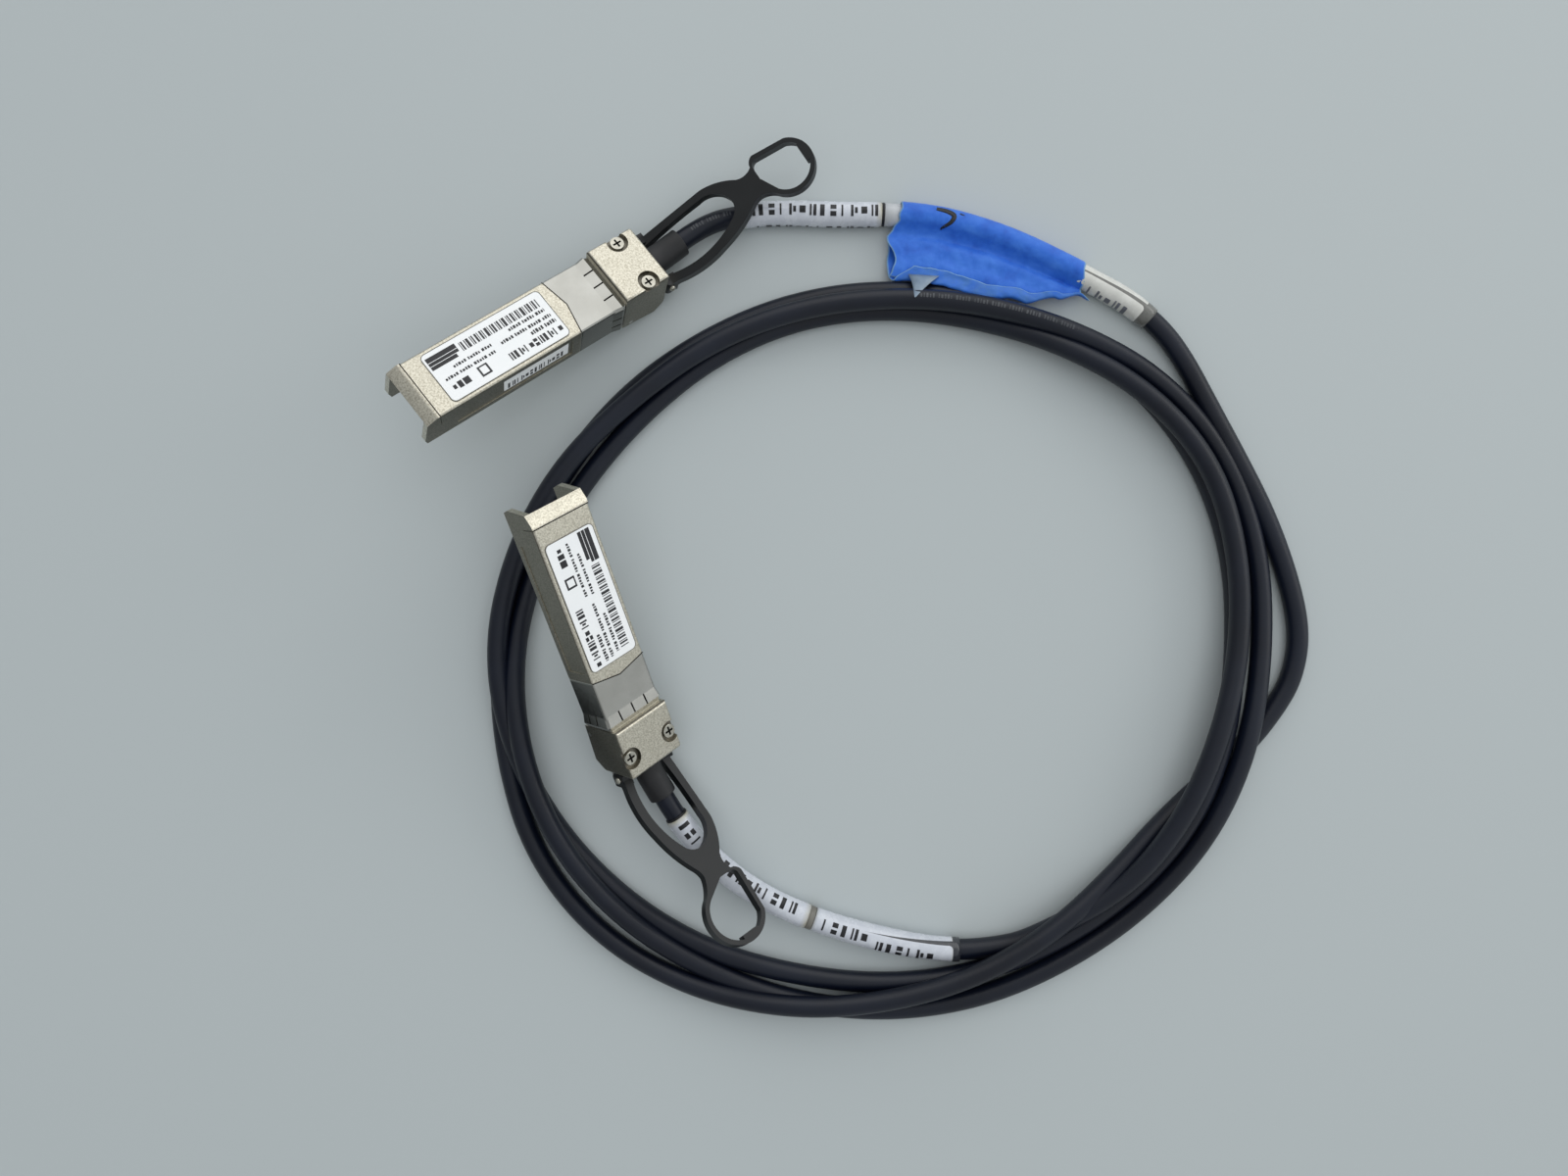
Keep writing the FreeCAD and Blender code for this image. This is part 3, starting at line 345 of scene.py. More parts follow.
# solids that keep their own mesh and only take a finish
recoloured = {"circuit_board": "board", "memory_chip": "chip", "shielded_wires": "foil",
              "crimp_ferrule": "foil", "lever_pin": "steel", "latch_spring": "steel",
              "top_label": "label"}


def slopeNose(piece):
    # the nose slopes further back than the plain solid's small bevel
    place = moduleMatrix(piece.name.split("_")[2])
    back = place.inverted()
    for vertex in piece.data.vertices:
        spot = (back @ vertex.co) / mm
        if abs(spot.x - nose["bevel"]) < nose["near"] and spot.z > nose["low"]:
            vertex.co = place @ (Vector((nose["slope"], spot.y, spot.z)) * mm)


def dressModule(tag):
    for kind, (finish, slot, edge, body) in dressed.items():
        node = f"{kind}_{tag}"
        piece = softenedCopy(node, edge, slopeNose if kind == "bottom_shell" else None)
        finishPiece(piece, node + "_dressed", body if body == "root" else f"{body}_{tag}", slot,
                    finishes[finish], (node,))
    for kind, finish in recoloured.items():
        repaint(f"{kind}_{tag}", finish)


def giveFaces(name, tag, finish, belongs):
    # a second finish on the faces that belong: place and normal in the module's own directions
    piece = bpy.data.objects[name]
    piece.data.materials.append(finishes[finish])
    number = len(piece.data.materials) - 1
    back = moduleMatrix(tag).inverted()
    turn = back.to_3x3()
    for face in piece.data.polygons:
        if belongs((back @ face.center) / mm, turn @ face.normal):
            face.material_index = number


def onScrew(spot):
    return abs(spot.x - screw["along"]), abs(abs(spot.y) - screw["across"])


def inCross(spot, normal):
    reach = onScrew(spot)
    return (max(reach) < screw["reach"] and min(reach) < screw["half"]
            and screw["floor"] < spot.z < screw["top"])


def inShade(spot, normal):
    # the floor round a screw's head, and the groove in front of the hood
    return (math.hypot(*onScrew(spot)) < sink["radius"] and sink["low"] < spot.z < sink["high"]
            or normal.x < -0.7 and abs(spot.x - groove["along"]) < groove["near"]
            and spot.z > groove["above"])


def onFlank(spot, normal):
    return abs(normal.y) > 0.8


def shadeModule(tag):
    giveFaces(f"shell_screws_{tag}_dressed", tag, "recess", inCross)
    # the flanks of the shells and the collar take darker finishes of painted shade
    for shell in ("bottom", "top"):
        giveFaces(f"{shell}_shell_{tag}_dressed", tag, "flankShade", onFlank)
        giveFaces(f"{shell}_shell_{tag}_dressed", tag, "sink", inShade)
    giveFaces(f"emi_collar_{tag}_dressed", tag, "sheetFlankShade", onFlank)


def repaint(node, finish):
    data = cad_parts[node].data
    data.materials.clear()
    data.materials.append(finishes[finish])


for tag in modules:
    dressModule(tag)
    shadeModule(tag)
repaint("side_label_a", "label")
print("modules dressed")


# The cable's route on the table, in millimetres, from each boot to where it joins the coil.
leadA = [(-8.5, 80.4, 2.75), (0.5, 80.9, 2.65), (11.6, 80.4, 2.6), (23.1, 80.6, 2.6),
         (34.5, 79.2, 2.6), (46.5, 75.6, 2.55), (56.1, 71.3, 2.55), (65.8, 66.4, 2.6),
         (74.4, 61.6, 2.6), (81.6, 55.6, 2.6), (86.6, 48.6, 2.4), (91.5, 39.5, 2.2),
         (97.4, 28.6, 2.2), (103.9, 15.9, 2.2), (108.9, 2.0, 2.2), (111.3, -9.5, 2.2),
         (109.9, -18.6, 2.2), (106.6, -25.0, 2.2)]
leadB = [(-16.8, -57.2, 3.0), (-10.2, -63.0, 2.7), (-2.2, -67.8, 2.6), (6.2, -71.3, 2.6),
         (15.2, -74.2, 2.6), (26.0, -76.8, 2.6), (37.0, -78.1, 2.6), (46.4, -77.4, 2.4),
         (53.5, -75.2, 3.6)]
cable = {
    "diameter": 0.0044, "middle": (0.0220, -0.0136), "step": 15,
    # in millimetres from here on: where each boot ends and where its bore starts, in the module's
    # own directions, and how far the cable then runs straight
    "end": {"a": (68.0, 0.0, 6.7), "b": (68.4, 0.3, 6.9)}, "bore": (62.2, 0, 5.2), "straight": 6.5,
    # the radius of each turn and the height of its middle, clockwise from the shoulder where the
    # first lead goes in, a step in degrees apart
    "turns": [
        {"radius": [79.4, 69.9, 67.8, 68.6, 71.0, 73.9, 78.1, 83.2, 86.5, 87.1, 84.6, 82.9,
                    81.2, 79.1, 78.2, 77.4, 77.4, 77.5, 77.7, 78.3, 79.0, 78.6, 77.0, 74.7],
         "height": [2.2, 2.2, 4.4, 6.8, 6.6, 6.2, 5.8, 2.6, 2.2, 2.2, 2.2, 2.2,
                    2.2, 2.2, 2.2, 2.2, 2.2, 2.2, 2.2, 2.2, 2.2, 2.2, 2.2, 3.0]},
        {"radius": [74.0, 74.3, 73.5, 72.4, 71.7, 71.4, 72.0, 74.5, 77.2, 80.1, 82.2, 83.2,
                    81.5, 79.1, 76.0, 75.3, 74.9, 74.9, 76.1, 78.5, 82.7, 84.1, 82.7, 79.9],
         "height": [5.8, 4.6, 2.4, 2.2, 2.2, 2.2, 2.2, 2.2, 2.2, 2.2, 4.8, 6.4,
                    6.2, 6.2, 6.2, 6.2, 6.1, 6.0, 6.2, 6.0, 3.2, 2.2, 2.4, 4.2]},
        {"radius": [78.6, 78.9, 77.9, 76.8, 77.0, 77.2, 77.7, 78.4, 79.8, 80.7, 80.1, 79.5,
                    77.2, 74.2, 72.9, 73.2, 73.6, 73.5, 73.8, 75.1, 77.7, 79.2, 76.8, 73.8],
         "height": [6.6, 4.2, 2.2, 2.2, 2.2, 2.2, 2.2, 2.6, 4.8, 6.4, 7.8, 4.6,
                    2.2, 2.2, 2.2, 2.2, 2.2, 2.2, 2.4, 5.4, 6.6, 6.4, 6.4, 7.4]},
        {"radius": [71.2, 71.0, 70.9], "height": [9.6, 8.4, 6.2]},
    ],
}


def bootEnd(tag):
    # the boot's end and a point straight out of it, in the frame
    end = inMetres(cable["end"][tag])
    heading = (end - inMetres(cable["bore"])).normalized()
    place = moduleMatrix(tag)
    return [place @ end, place @ (end + heading * (cable["straight"] / 1000))]


def coilPoints():
    # a spline of this order passes inside its points, so they stand out by that share
    outward = 1 / (0.75 + 0.25 * math.cos(math.radians(cable["step"])))
    points = []
    angle = 0
    for turn in cable["turns"]:
        for radius, height in zip(turn["radius"], turn["height"]):
            angle += cable["step"]
            way = math.radians(angle)
            reach = radius * outward * mm
            points.append(Vector((cable["middle"][0] + reach * math.cos(way),
                                  cable["middle"][1] - reach * math.sin(way), height * mm)))
    return points


def cablePoints():
    leadIn, leadOut = ([inMetres(point) for point in lead] for lead in (leadA, leadB))
    onTable = [point + gridStart for point in leadIn + coilPoints() + leadOut[::-1]]
    return bootEnd("a") + onTable + bootEnd("b")[::-1]


def makeCable(material):
    curve = bpy.data.curves.new("cable", "CURVE")
    curve.dimensions = "3D"
    curve.bevel_depth = cable["diameter"] / 2
    curve.bevel_resolution = 5
    curve.resolution_u = 10
    curve.use_fill_caps = True
    spline = curve.splines.new("NURBS")
    points = cablePoints()
    spline.points.add(len(points) - 1)
    for target, point in zip(spline.points, points):
        target.co = (*point, 1)
    spline.order_u = 3
    spline.use_endpoint_u = True
    return finishPiece(linkPiece("cable", curve), "cable", "root", "cable_jacket", material,
                       ("lead_a", "coil", "lead_b"))


def centreline(piece):
    # the points of the cable's middle line, read from its spline with no bevel
    bare = linkPiece("line", piece.data.copy())
    bare.data.bevel_depth = 0
    bpy.context.view_layer.update()
    mesh = bpy.data.meshes.new_from_object(bare.evaluated_get(
        bpy.context.evaluated_depsgraph_get()))
    line = [vertex.co.copy() for vertex in mesh.vertices]
    bpy.data.meshes.remove(mesh)
    bpy.data.objects.remove(bare)
    return line


def lengthOf(line):
    return sum((after - before).length for before, after in zip(line, line[1:]))


cablePiece = makeCable(finishes["jacket"])
cableLine = centreline(cablePiece)
print("cable", len(cablePoints()), "points,", round(lengthOf(cableLine), 4), "m")


def alongLine(line):
    # gives the place, the heading, the side to the left and the way up at a length
    lengths = [0.0]
    for before, after in zip(line, line[1:]):
        lengths.append(lengths[-1] + (after - before).length)

    def spot(length):
        index = max(1, min(bisect.bisect_left(lengths, length), len(line) - 1))
        share = (length - lengths[index - 1]) / (lengths[index] - lengths[index - 1])
        return line[index - 1].lerp(line[index], share)

    def at(length):
        heading = (spot(length + 1.5 * mm) - spot(length - 1.5 * mm)).normalized()
        side = Vector((0, 0, 1)).cross(heading).normalized()
        return spot(length), heading, side, heading.cross(side)
    return at


fromBoot = {"a": alongLine(cableLine), "b": alongLine(cableLine[::-1])}


def roundCable(tag, length, turn, radius):
    # a place round the cable: millimetres from its boot, degrees from the top to the left
    centre, _, side, up = fromBoot[tag](length * mm)
    way = math.radians(turn)
    return centre + (side * math.sin(way) + up * math.cos(way)) * (radius * mm)


def gridPiece(name, rows, columns, place, mark=None, closed=False):
    # a sheet from place(row, column), with mark(row, column) as its pattern's own place
    verts = [place(row, column) for row in range(rows) for column in range(columns)]
    faces, corners = [], []
    for row in range(rows - 1):
        for column in range(columns if closed else columns - 1):
            beside = (column + 1) % columns
            faces.append((row * columns + column, (row + 1) * columns + column,
                          (row + 1) * columns + beside, row * columns + beside))
            corners += [(row, column), (row + 1, column), (row + 1, column + 1),
                        (row, column + 1)]
    piece = meshPiece(name, verts, faces)
    if mark:
        layer = piece.data.uv_layers.new(name="pattern")
        for loop, corner in enumerate(corners):
            layer.data[loop].uv = mark(*corner)
    pick(piece)
    bpy.ops.object.shade_smooth()
    return piece


def thicken(piece, depth, offset=-1):
    wall = piece.modifiers.new("wall", "SOLIDIFY")
    wall.thickness = depth
    wall.offset = offset
    applyAll(piece)
    return piece


inkDepth = 0.00003
penLift = 0.00004
# Plain blocks that stand in for print: left, right, low and high in a cell one unit each way.
markShapes = [
    [(0.0, 0.24, 0.0, 1.0), (0.48, 0.88, 0.0, 1.0)],
    [(0.0, 0.60, 0.0, 1.0)],
    [(0.0, 0.80, 0.0, 0.40), (0.0, 0.80, 0.60, 1.0)],
    [(0.1, 0.34, 0.0, 1.0)],
    [(0.0, 0.34, 0.0, 1.0), (0.52, 0.90, 0.25, 0.75)],
    [(0.0, 0.80, 0.2, 0.8)],
]


def inkPiece(name, bars, place, step, slot, finish):
    # thin bars on a surface: place(across, up) puts a point of the flat layout on it
    verts, faces = [], []
    for left, right, low, high in bars:
        columns = max(1, math.ceil((right - left) / step))
        rows = max(1, math.ceil((high - low) / step))
        first = len(verts)
        for row in range(rows + 1):
            height = low + (high - low) * row / rows
            for column in range(columns + 1):
                across = left + (right - left) * column / columns
                verts.append(place(across, height))
        for row in range(rows):
            for column in range(columns):
                corner = first + row * (columns + 1) + column
                faces.append((corner, corner + 1, corner + columns + 2, corner + columns + 1))
    piece = thicken(meshPiece(name, verts, faces), inkDepth)
    return finishPiece(piece, name, "root", slot, finishes[finish])


def rowOfMarks(start, base, count, wide, high, pitch, pattern):
    # count marks in a row, chosen in turn by the pattern
    bars = []
    for number in range(count):
        left = start + number * pitch
        for near, far, bottom, top in markShapes[pattern[number % len(pattern)]]:
            bars.append((left + near * wide, left + far * wide, base + bottom * high,
                         base + top * high))
    return bars


def lineOfPrint(start, end, base, high, widths, gap):
    # small blocks in a row, with a wider gap after every fifth
    bars = []
    across, number = start, 0
    while across < end:
        wide = widths[number % len(widths)]
        tall = high if number % 3 else high * 0.8
        bars.append((across, min(across + wide, end), base, base + tall))
        across += wide + gap * (2.6 if number % 5 == 4 else 1)
        number += 1
    return bars


labels = {
    # millimetres in a module's own directions: along from the nose, across, and up
    "top": {"box": (6.9, 34.7, -5.75, 5.75), "corner": 1.0, "height": 8.62, "printLift": 0.03,
            "rim": 0.16, "rimLift": 0.02, "rimDepth": 0.04},
    # a dark block, crossed by pale lines
    "block": [(7.4, 14.1, 3.7, 4.75), (7.4, 14.1, 2.85, 3.55), (7.4, 13.3, 1.9, 2.7)],
    "code": {"from": 14.8, "to": 33.0, "low": 2.35, "high": 4.35,
             "bars": (0.16, 0.36, 0.2, 0.56, 0.16, 0.28, 0.42), "gap": 0.2},
    # lines of small print: start, end, base and height
    "small": [(24.7, 33.3, 1.1, 0.7), (21.8, 33.7, -0.5, 0.7), (28.0, 33.9, -2.0, 0.85),
              (11.2, 20.0, 0.3, 0.62), (8.3, 19.8, -1.3, 0.62)],
    "large": {"from": 21.5, "base": -4.55, "count": 11, "wide": 1.05, "high": 1.7,
              "pitch": 1.17, "order": (0, 1, 4, 3, 5, 2)},
    "bold": [(8.6, 9.3, -3.6, -2.7), (9.7, 10.7, -3.9, -2.4), (11.0, 12.4, -3.9, -2.4),
             (14.6, 16.9, -4.35, -3.95), (14.6, 15.0, -3.95, -2.3), (16.5, 16.9, -3.95, -2.3),
             (14.6, 16.9, -2.3, -2.0)],
    "side": {"face": -6.72, "from": 18.7, "base": 3.25, "count": 13, "wide": 0.85, "high": 1.9,
             "pitch": 1.08, "order": (1, 0, 3, 4, 5, 2)},
}


# Millimetres from the boot. The white field spans so many degrees of the way round, and stops a
# margin before the far end. A slit beside it is so wide at its start, and widens by so much for
# each millimetre. Each row has its start, base and count, and the first mark and the stride.
sleeves = {
    "sleeve_a_inner": {"tag": "a", "start": 14.2, "end": 44.7, "radius": 2.68,
                       "field": (-175, 175),
                       "rows": [(16.0, -1.1, 13, 0, 1), (17.5, -6.3, 12, 3, 5)]},
    "sleeve_a_outer": {"tag": "a", "start": 88.0, "end": 107.7, "radius": 2.62, "field": (-150, 8),
                       "margin": 2.5, "slit": (0.35, 0.035), "rows": [(92.5, -4.4, 5, 3, 1)],
                       "ink": "paleInk", "white": ((0.64, 0.64, 0.60), (0.76, 0.76, 0.72)),
                       "clear": ((0.12, 0.12, 0.112), (0.18, 0.18, 0.168))},
    "sleeve_b_inner": {"tag": "b", "start": 5.6, "end": 42.0, "radius": 2.68,
                       "field": (-175, 175),
                       "rows": [(7.0, -0.6, 3, 1, 1), (15.5, 0.0, 11, 4, 5)]},
    "sleeve_b_outer": {"tag": "b", "start": 43.4, "end": 75.5, "radius": 2.64,
                       "field": (-150, 30), "margin": 1.6, "slit": (-0.7, 0.06),
                       "rows": [(45.2, -1.2, 5, 3, 5), (57.5, -2.6, 6, 0, 1)]},
}
# The ends are drawn in by the tuck, and the film stands loose here and there.
sleeveLook = {"wall": 0.32, "tuck": 0.10, "loose": 0.05, "step": 0.8, "round": 36,
              "markWide": 1.6, "markHigh": 2.5, "markLift": 0.075, "pitch": 2.2, "unit": 60.0,
              "low": 0.02, "corner": 0.9, "ink": "ink",
              "white": ((0.58, 0.61, 0.68), (0.68, 0.71, 0.77)), "worn": (0.44, 0.42, 0.33),
              "clear": ((0.022, 0.025, 0.034), (0.05, 0.054, 0.062))}
# short rings and stubs beside the sleeves: boot, start, end, radius and finish
cuffs = {
    "sleeve_a_ring": ("a", 44.75, 45.3, 2.5, "darkRing"),
    "sleeve_a_stub": ("a", 45.3, 49.0, 2.42, "whiteRing"),
    "sleeve_b_collar": ("b", 5.1, 5.7, 2.45, "darkRing"),
    "sleeve_b_ring": ("b", 42.0, 43.4, 2.52, "paleRing"),
}
cuffLook = {"wall": 0.1, "rimLong": 0.12, "rimDeep": 0.16}


def filmAndField(name, look):
    # a printed white field on clear film; where it stops, the dark cable shows through
    material, tree, shader = newMaterial(name)
    unit, corner = look["unit"], look["corner"]
    length = look["end"] - look["start"]
    low, high = (math.radians(turn) * look["radius"] for turn in look["field"])
    left, right = (0.0, length - look["margin"]) if "margin" in look else (-5.0, length + 5.0)
    middle = ((left + right) / 2, (low + high) / 2)
    half = ((right - left) / 2 - corner, (high - low) / 2 - corner)
    at = stepOf(tree, "VectorMath", "MULTIPLY_ADD", patternOf(tree), (unit, unit, 0),
                (-middle[0], -middle[1], 0))
    beyond = stepOf(tree, "VectorMath", "ABSOLUTE", at)
    beyond = stepOf(tree, "VectorMath", "SUBTRACT", beyond, (*half, 0))
    beyond = stepOf(tree, "VectorMath", "MAXIMUM", beyond, (0, 0, 0))
    away = stepOf(tree, "VectorMath", "LENGTH", beyond)
    shown = spread(tree, away, 0, 1, (corner + 0.05, corner - 0.05))
    # wear gathers at both ends of the sleeve
    reach = stepOf(tree, "Math", "ABSOLUTE", partsOf(tree, at)["X"])
    place = objectPlace(tree)
    patch = noiseOf(tree, place, 420.0, 4.0, 0.6)
    worn = spread(tree, reach, 0, 1, (length / 2 - 1.3, length / 2 - 0.1))
    blotched = stepOf(tree, "Math", "MULTIPLY", worn, spread(tree, patch, 0.0, 1.6))
    white = rampOf(tree, patch, [(0.3, look["white"][0]), (0.7, look["white"][1])])
    clear = rampOf(tree, patch, [(0.35, look["clear"][0]), (0.75, look["clear"][1])])
    field = mixOf(tree, blotched, white, look["worn"])
    if "slit" in look:
        # the field starts again past a slit that widens along the sleeve
        start, growth = look["slit"]
        edge = high - middle[1] + start + growth * middle[0]
        across = stepOf(tree, "VectorMath", "DOT_PRODUCT", at, (-growth, 1, 0))
        past = spread(tree, across, 0, 1, (edge - 0.05, edge + 0.05))
        within = stepOf(tree, "Math", "LESS_THAN", reach, (right - left) / 2)
        shown = stepOf(tree, "Math", "MAXIMUM", shown,
                       stepOf(tree, "Math", "MULTIPLY", past, within))
    shader.inputs["Coat Weight"].default_value = 0.5
    shader.inputs["Coat Roughness"].default_value = 0.12
    creases = noiseOf(tree, place, 900.0, 2.0)
    surface(shader, tree, mixOf(tree, shown, clear, field), spread(tree, patch, 0.2, 0.34),
            bumpOf(tree, creases, 0.12, 0.00004))
    return material


def restingOn(tag, length, turn, radius):
    # a place round the cable that stays above the table
    spot = roundCable(tag, length, turn, radius)
    spot.z = max(spot.z, sleeveLook["low"] * mm)
    return spot


def makeSleeve(name, look):
    length = look["end"] - look["start"]
    rows = math.ceil(length / look["step"]) + 1
    columns, unit = look["round"], look["unit"]

    def turnAt(column):
        return 360 * column / columns - 180

    def place(row, column):
        share = row / (rows - 1)
        tuck = look["tuck"] * max(0, 1 - min(row, rows - 1 - row) / 1.5)
        loose = look["loose"] * math.sin(share * 9 + math.radians(turnAt(column)) * 2)
        return restingOn(look["tag"], look["start"] + share * length, turnAt(column),
                         look["radius"] - tuck + loose)

    def mark(row, column):
        return (row / (rows - 1) * length / unit,
                math.radians(turnAt(column)) * look["radius"] / unit)

    piece = gridPiece(name + "_film", rows, columns, place, mark, closed=True)
    thicken(piece, look["wall"] * mm)
    finishPiece(piece, name + "_film", "root", "sleeve_film", filmAndField(name + "Film", look),
                (name,))
    bars = []
    for start, base, count, shift, stride in look["rows"]:
        order = [(shift + stride * number) % len(markShapes) for number in range(len(markShapes))]
        bars += rowOfMarks(start, base, count, look["markWide"], look["markHigh"], look["pitch"],
                           order)
    shown = look["radius"] + look["markLift"]
    ink = inkPiece(name + "_marks", bars, lambda across, up: roundCable(
        look["tag"], across, math.degrees(up / look["radius"]), shown), 0.4, "sleeve_film",
        look["ink"])
    return [piece.name, ink.name]


def makeCuff(name, tag, start, end, radius, finish):
    columns, rim = sleeveLook["round"], cuffLook["rimLong"]
    # the rims are rounded over
    rings = [(start, radius - cuffLook["rimDeep"]), (start + rim, radius),
             ((start + end) / 2, radius), (end - rim, radius), (end, radius - cuffLook["rimDeep"])]

    def place(row, column):
        return restingOn(tag, rings[row][0], 360 * column / columns, rings[row][1])

    piece = gridPiece(name, len(rings), columns, place, closed=True)
    thicken(piece, cuffLook["wall"] * mm)
    return finishPiece(piece, name, "root", "sleeve_film", finishes[finish]).name


# faint lines of small print on the jacket: past the first boot, and where the coil's top shows
jacketPrint = {"runs": [(3.0, 12.5), (1052, 1086)], "base": -0.5, "high": 1.0, "gap": 0.34,
               "widths": (0.34, 0.2, 0.42, 0.26), "turn": 12, "arc": 2.2, "radius": 2.225}


def printOnJacket():
    look, bars = jacketPrint, []
    for start, end in look["runs"]:
        bars += lineOfPrint(start, end, look["base"], look["high"], look["widths"], look["gap"])
    return inkPiece("jacket_marks", bars, lambda across, up: roundCable(
        "a", across, look["turn"] + math.degrees(up / look["arc"]), look["radius"]), 0.5,
        "cable_jacket", "jacketInk").name


onCable = [printOnJacket()]
for name, look in sleeves.items():
    onCable += makeSleeve(name, {**sleeveLook, **look})
for name, look in cuffs.items():
    onCable.append(makeCuff(name, *look))
print("sleeves", len(onCable))


tape = {
    # lengths from the first module's boot and distances from the cable's middle, in millimetres
    "start": 48.9, "end": 92.0, "beside": 2.6, "sheet": 0.16, "rows": 110, "columns": 96,
    # how far the lower edge stands from the cable's middle, by share of the length
    "reach": [(0, 14.2), (0.12, 14.0), (0.27, 13.9), (0.5, 13.9), (0.75, 11.0), (0.9, 7.0),
              (1, 4.0)],
    # the strip's section, from the end under the hem, round the cable and back over the lower
    # edge: distance, height, and height where the strip is narrow. Distances over 10 are shares
    # of the reach past the cable, counted from 10.
    "section": [(10.93, 3.3, 2.7), (10.80, 3.5, 2.8), (10.62, 3.6, 2.9), (10.42, 3.5, 2.9),
                (10.24, 3.3, 2.9), (10.10, 2.7, 2.9), (2.35, 3.6, 3.9), (1.3, 4.85, 4.8),
                (-0.2, 5.35, 5.3), (-1.7, 4.9, 4.9), (-2.65, 3.7, 3.6), (-2.8, 2.2, 2.2),
                (-1.8, 0.7, 0.7), (0.6, 0.3, 0.3), (10.15, 0.4, 0.8), (10.45, 0.8, 1.2),
                (10.75, 2.2, 1.8), (10.95, 3.2, 2.2), (11.0, 3.6, 2.6), (10.96, 4.05, 3.1),
                (10.84, 4.1, 3.3), (10.72, 3.95, 3.3)],
    # how far the left end stands out, by share of the way through the section
    "torn": [(0, -1.8), (0.1, -0.8), (0.2, -3.0), (0.26, -1.6), (0.33, -0.5), (0.45, 0.0),
             (0.6, -0.4), (0.68, -2.2), (0.78, -2.4), (0.84, -1.1), (0.9, -0.6), (1, 4.0)],
    # the right end in the same way: its upper corner is rounded off, and the lower one stands out
    "cut": [(0, 0), (0.3, -0.6), (0.42, -2.2), (0.5, -2.6), (0.6, -1.2), (0.75, 0), (0.86, 2.2),
            (1, 0.6)],
    "wrinkle": 0.34, "crease": 0.07,
}


def readTable(table, share):
    # a smooth reading between the listed pairs
    for (low, first), (high, last) in zip(table, table[1:]):
        if share <= high:
            part = (share - low) / (high - low)
            return first + (last - first) * part * part * (3 - 2 * part)
    return table[-1][1]


def throughPoints(points, share):
    # a point on the smooth line through a list of points
    step = share * (len(points) - 1)
    index = min(int(step), len(points) - 2)
    part = step - index
    before, first, last, after = (Vector(points[max(0, min(number, len(points) - 1))])
                                  for number in range(index - 1, index + 3))
    return 0.5 * (2 * first + (last - before) * part
                  + (2 * before - 5 * first + 4 * last - after) * part ** 2
                  + (3 * first - before - 3 * last + after) * part ** 3)


def ripple(length, across, height, size):
    # a smooth bump from the pattern of folds at this place
    return size * noise.noise(Vector((length, across, height)))


def tapePlace(row, column):
    across = column / (tape["columns"] - 1)
    share = row / (tape["rows"] - 1)
    start = tape["start"] + readTable(tape["torn"], across) + ripple(across * 26, 3.1, 0.7, 0.35)
    end = tape["end"] + readTable(tape["cut"], across)
    length = start + (end - start) * share
    centre, _, side, _ = fromBoot["a"](length * mm)
    part = max(0.0, min(1.0, (length - tape["start"]) / (tape["end"] - tape["start"])))
    reach = readTable(tape["reach"], part) + ripple(length * 0.3, 0, 0, 0.3)
    past = reach - tape["beside"]
    wide = min(1.0, past / 6.0)
    section = []
    for away, height, narrow in tape["section"]:
        if away > 9:
            away = tape["beside"] + past * (away - 10)
        section.append((away, narrow + (height - narrow) * wide, 0))
    spot = throughPoints(section, across)
    free = max(0.0, min(1.0, (spot.x - 1.5) / 3.0))
    lift = ripple(length * 0.11, spot.x * 0.34, across * 1.4, tape["wrinkle"] * (0.35 + free))
    lift += ripple(length * 0.55, spot.x * 0.9, across * 3, 0.16 * free)
    crease = ripple(length * 1.6, spot.x * 1.9, across * 9, tape["crease"])
    height = max(0.18, spot.y + lift + crease)
    flat = Vector((side.x, side.y, 0)).normalized()
    return centre - flat * ((spot.x + crease) * mm) + Vector((0, 0, height * mm - centre.z))


def tapePaper():
    colour = {"deep": (0.006, 0.095, 0.54), "blue": (0.018, 0.145, 0.67),
              "light": (0.045, 0.205, 0.77), "hem": (0.055, 0.19, 0.53), "rim": (0.20, 0.38, 0.60)}
    material, tree, shader = newMaterial("tapePaper")
    place = objectPlace(tree)
    patch = noiseOf(tree, place, 230.0, 4.0, 0.6)
    fine = noiseOf(tree, place, 1500.0, 4.0, 0.7)
    paper = rampOf(tree, patch, [(0.28, colour["deep"]), (0.47, colour["blue"]),
                                 (0.72, colour["light"])])
    parts = partsOf(tree, patternOf(tree))
    # the hem's two layers look paler where they are stuck
    hem = spread(tree, parts["Y"], 0, 1, (0.875, 0.90))
    stuck = spread(tree, noiseOf(tree, place, 420.0, 4.0, 0.65), -0.5, 1.5)
    body = mixOf(tree, stepOf(tree, "Math", "MULTIPLY", hem, stuck), paper, colour["hem"])
    # torn ends and free edges show the paper's pale core
    rims = []
    for socket in ("X", "Y"):
        away = stepOf(tree, "Math", "SUBTRACT", parts[socket], 0.5)
        away = stepOf(tree, "Math", "ABSOLUTE", away)
        rims.append(spread(tree, away, 0, 1, (0.490, 0.497)))
    shader.inputs["Sheen Weight"].default_value = 0.15
    rough = bumpOf(tree, fine, 0.35, 0.00006)
    creped = noiseOf(tree, objectPlace(tree, (900, 260, 500)), 1.0)
    surface(shader, tree,
            mixOf(tree, stepOf(tree, "Math", "MAXIMUM", *rims), body, colour["rim"]),
            spread(tree, patch, 0.48, 0.62), bumpOf(tree, creped, 0.35, 0.00010, rough))
    return material


def makeTape():
    piece = gridPiece("tape", tape["rows"], tape["columns"], tapePlace, lambda row, column: (
        row / (tape["rows"] - 1), column / (tape["columns"] - 1)))
    thicken(piece, tape["sheet"] * mm, 0)
    return finishPiece(piece, "tape", "root", "paper_tape", tapePaper(), ("masking_tape",))


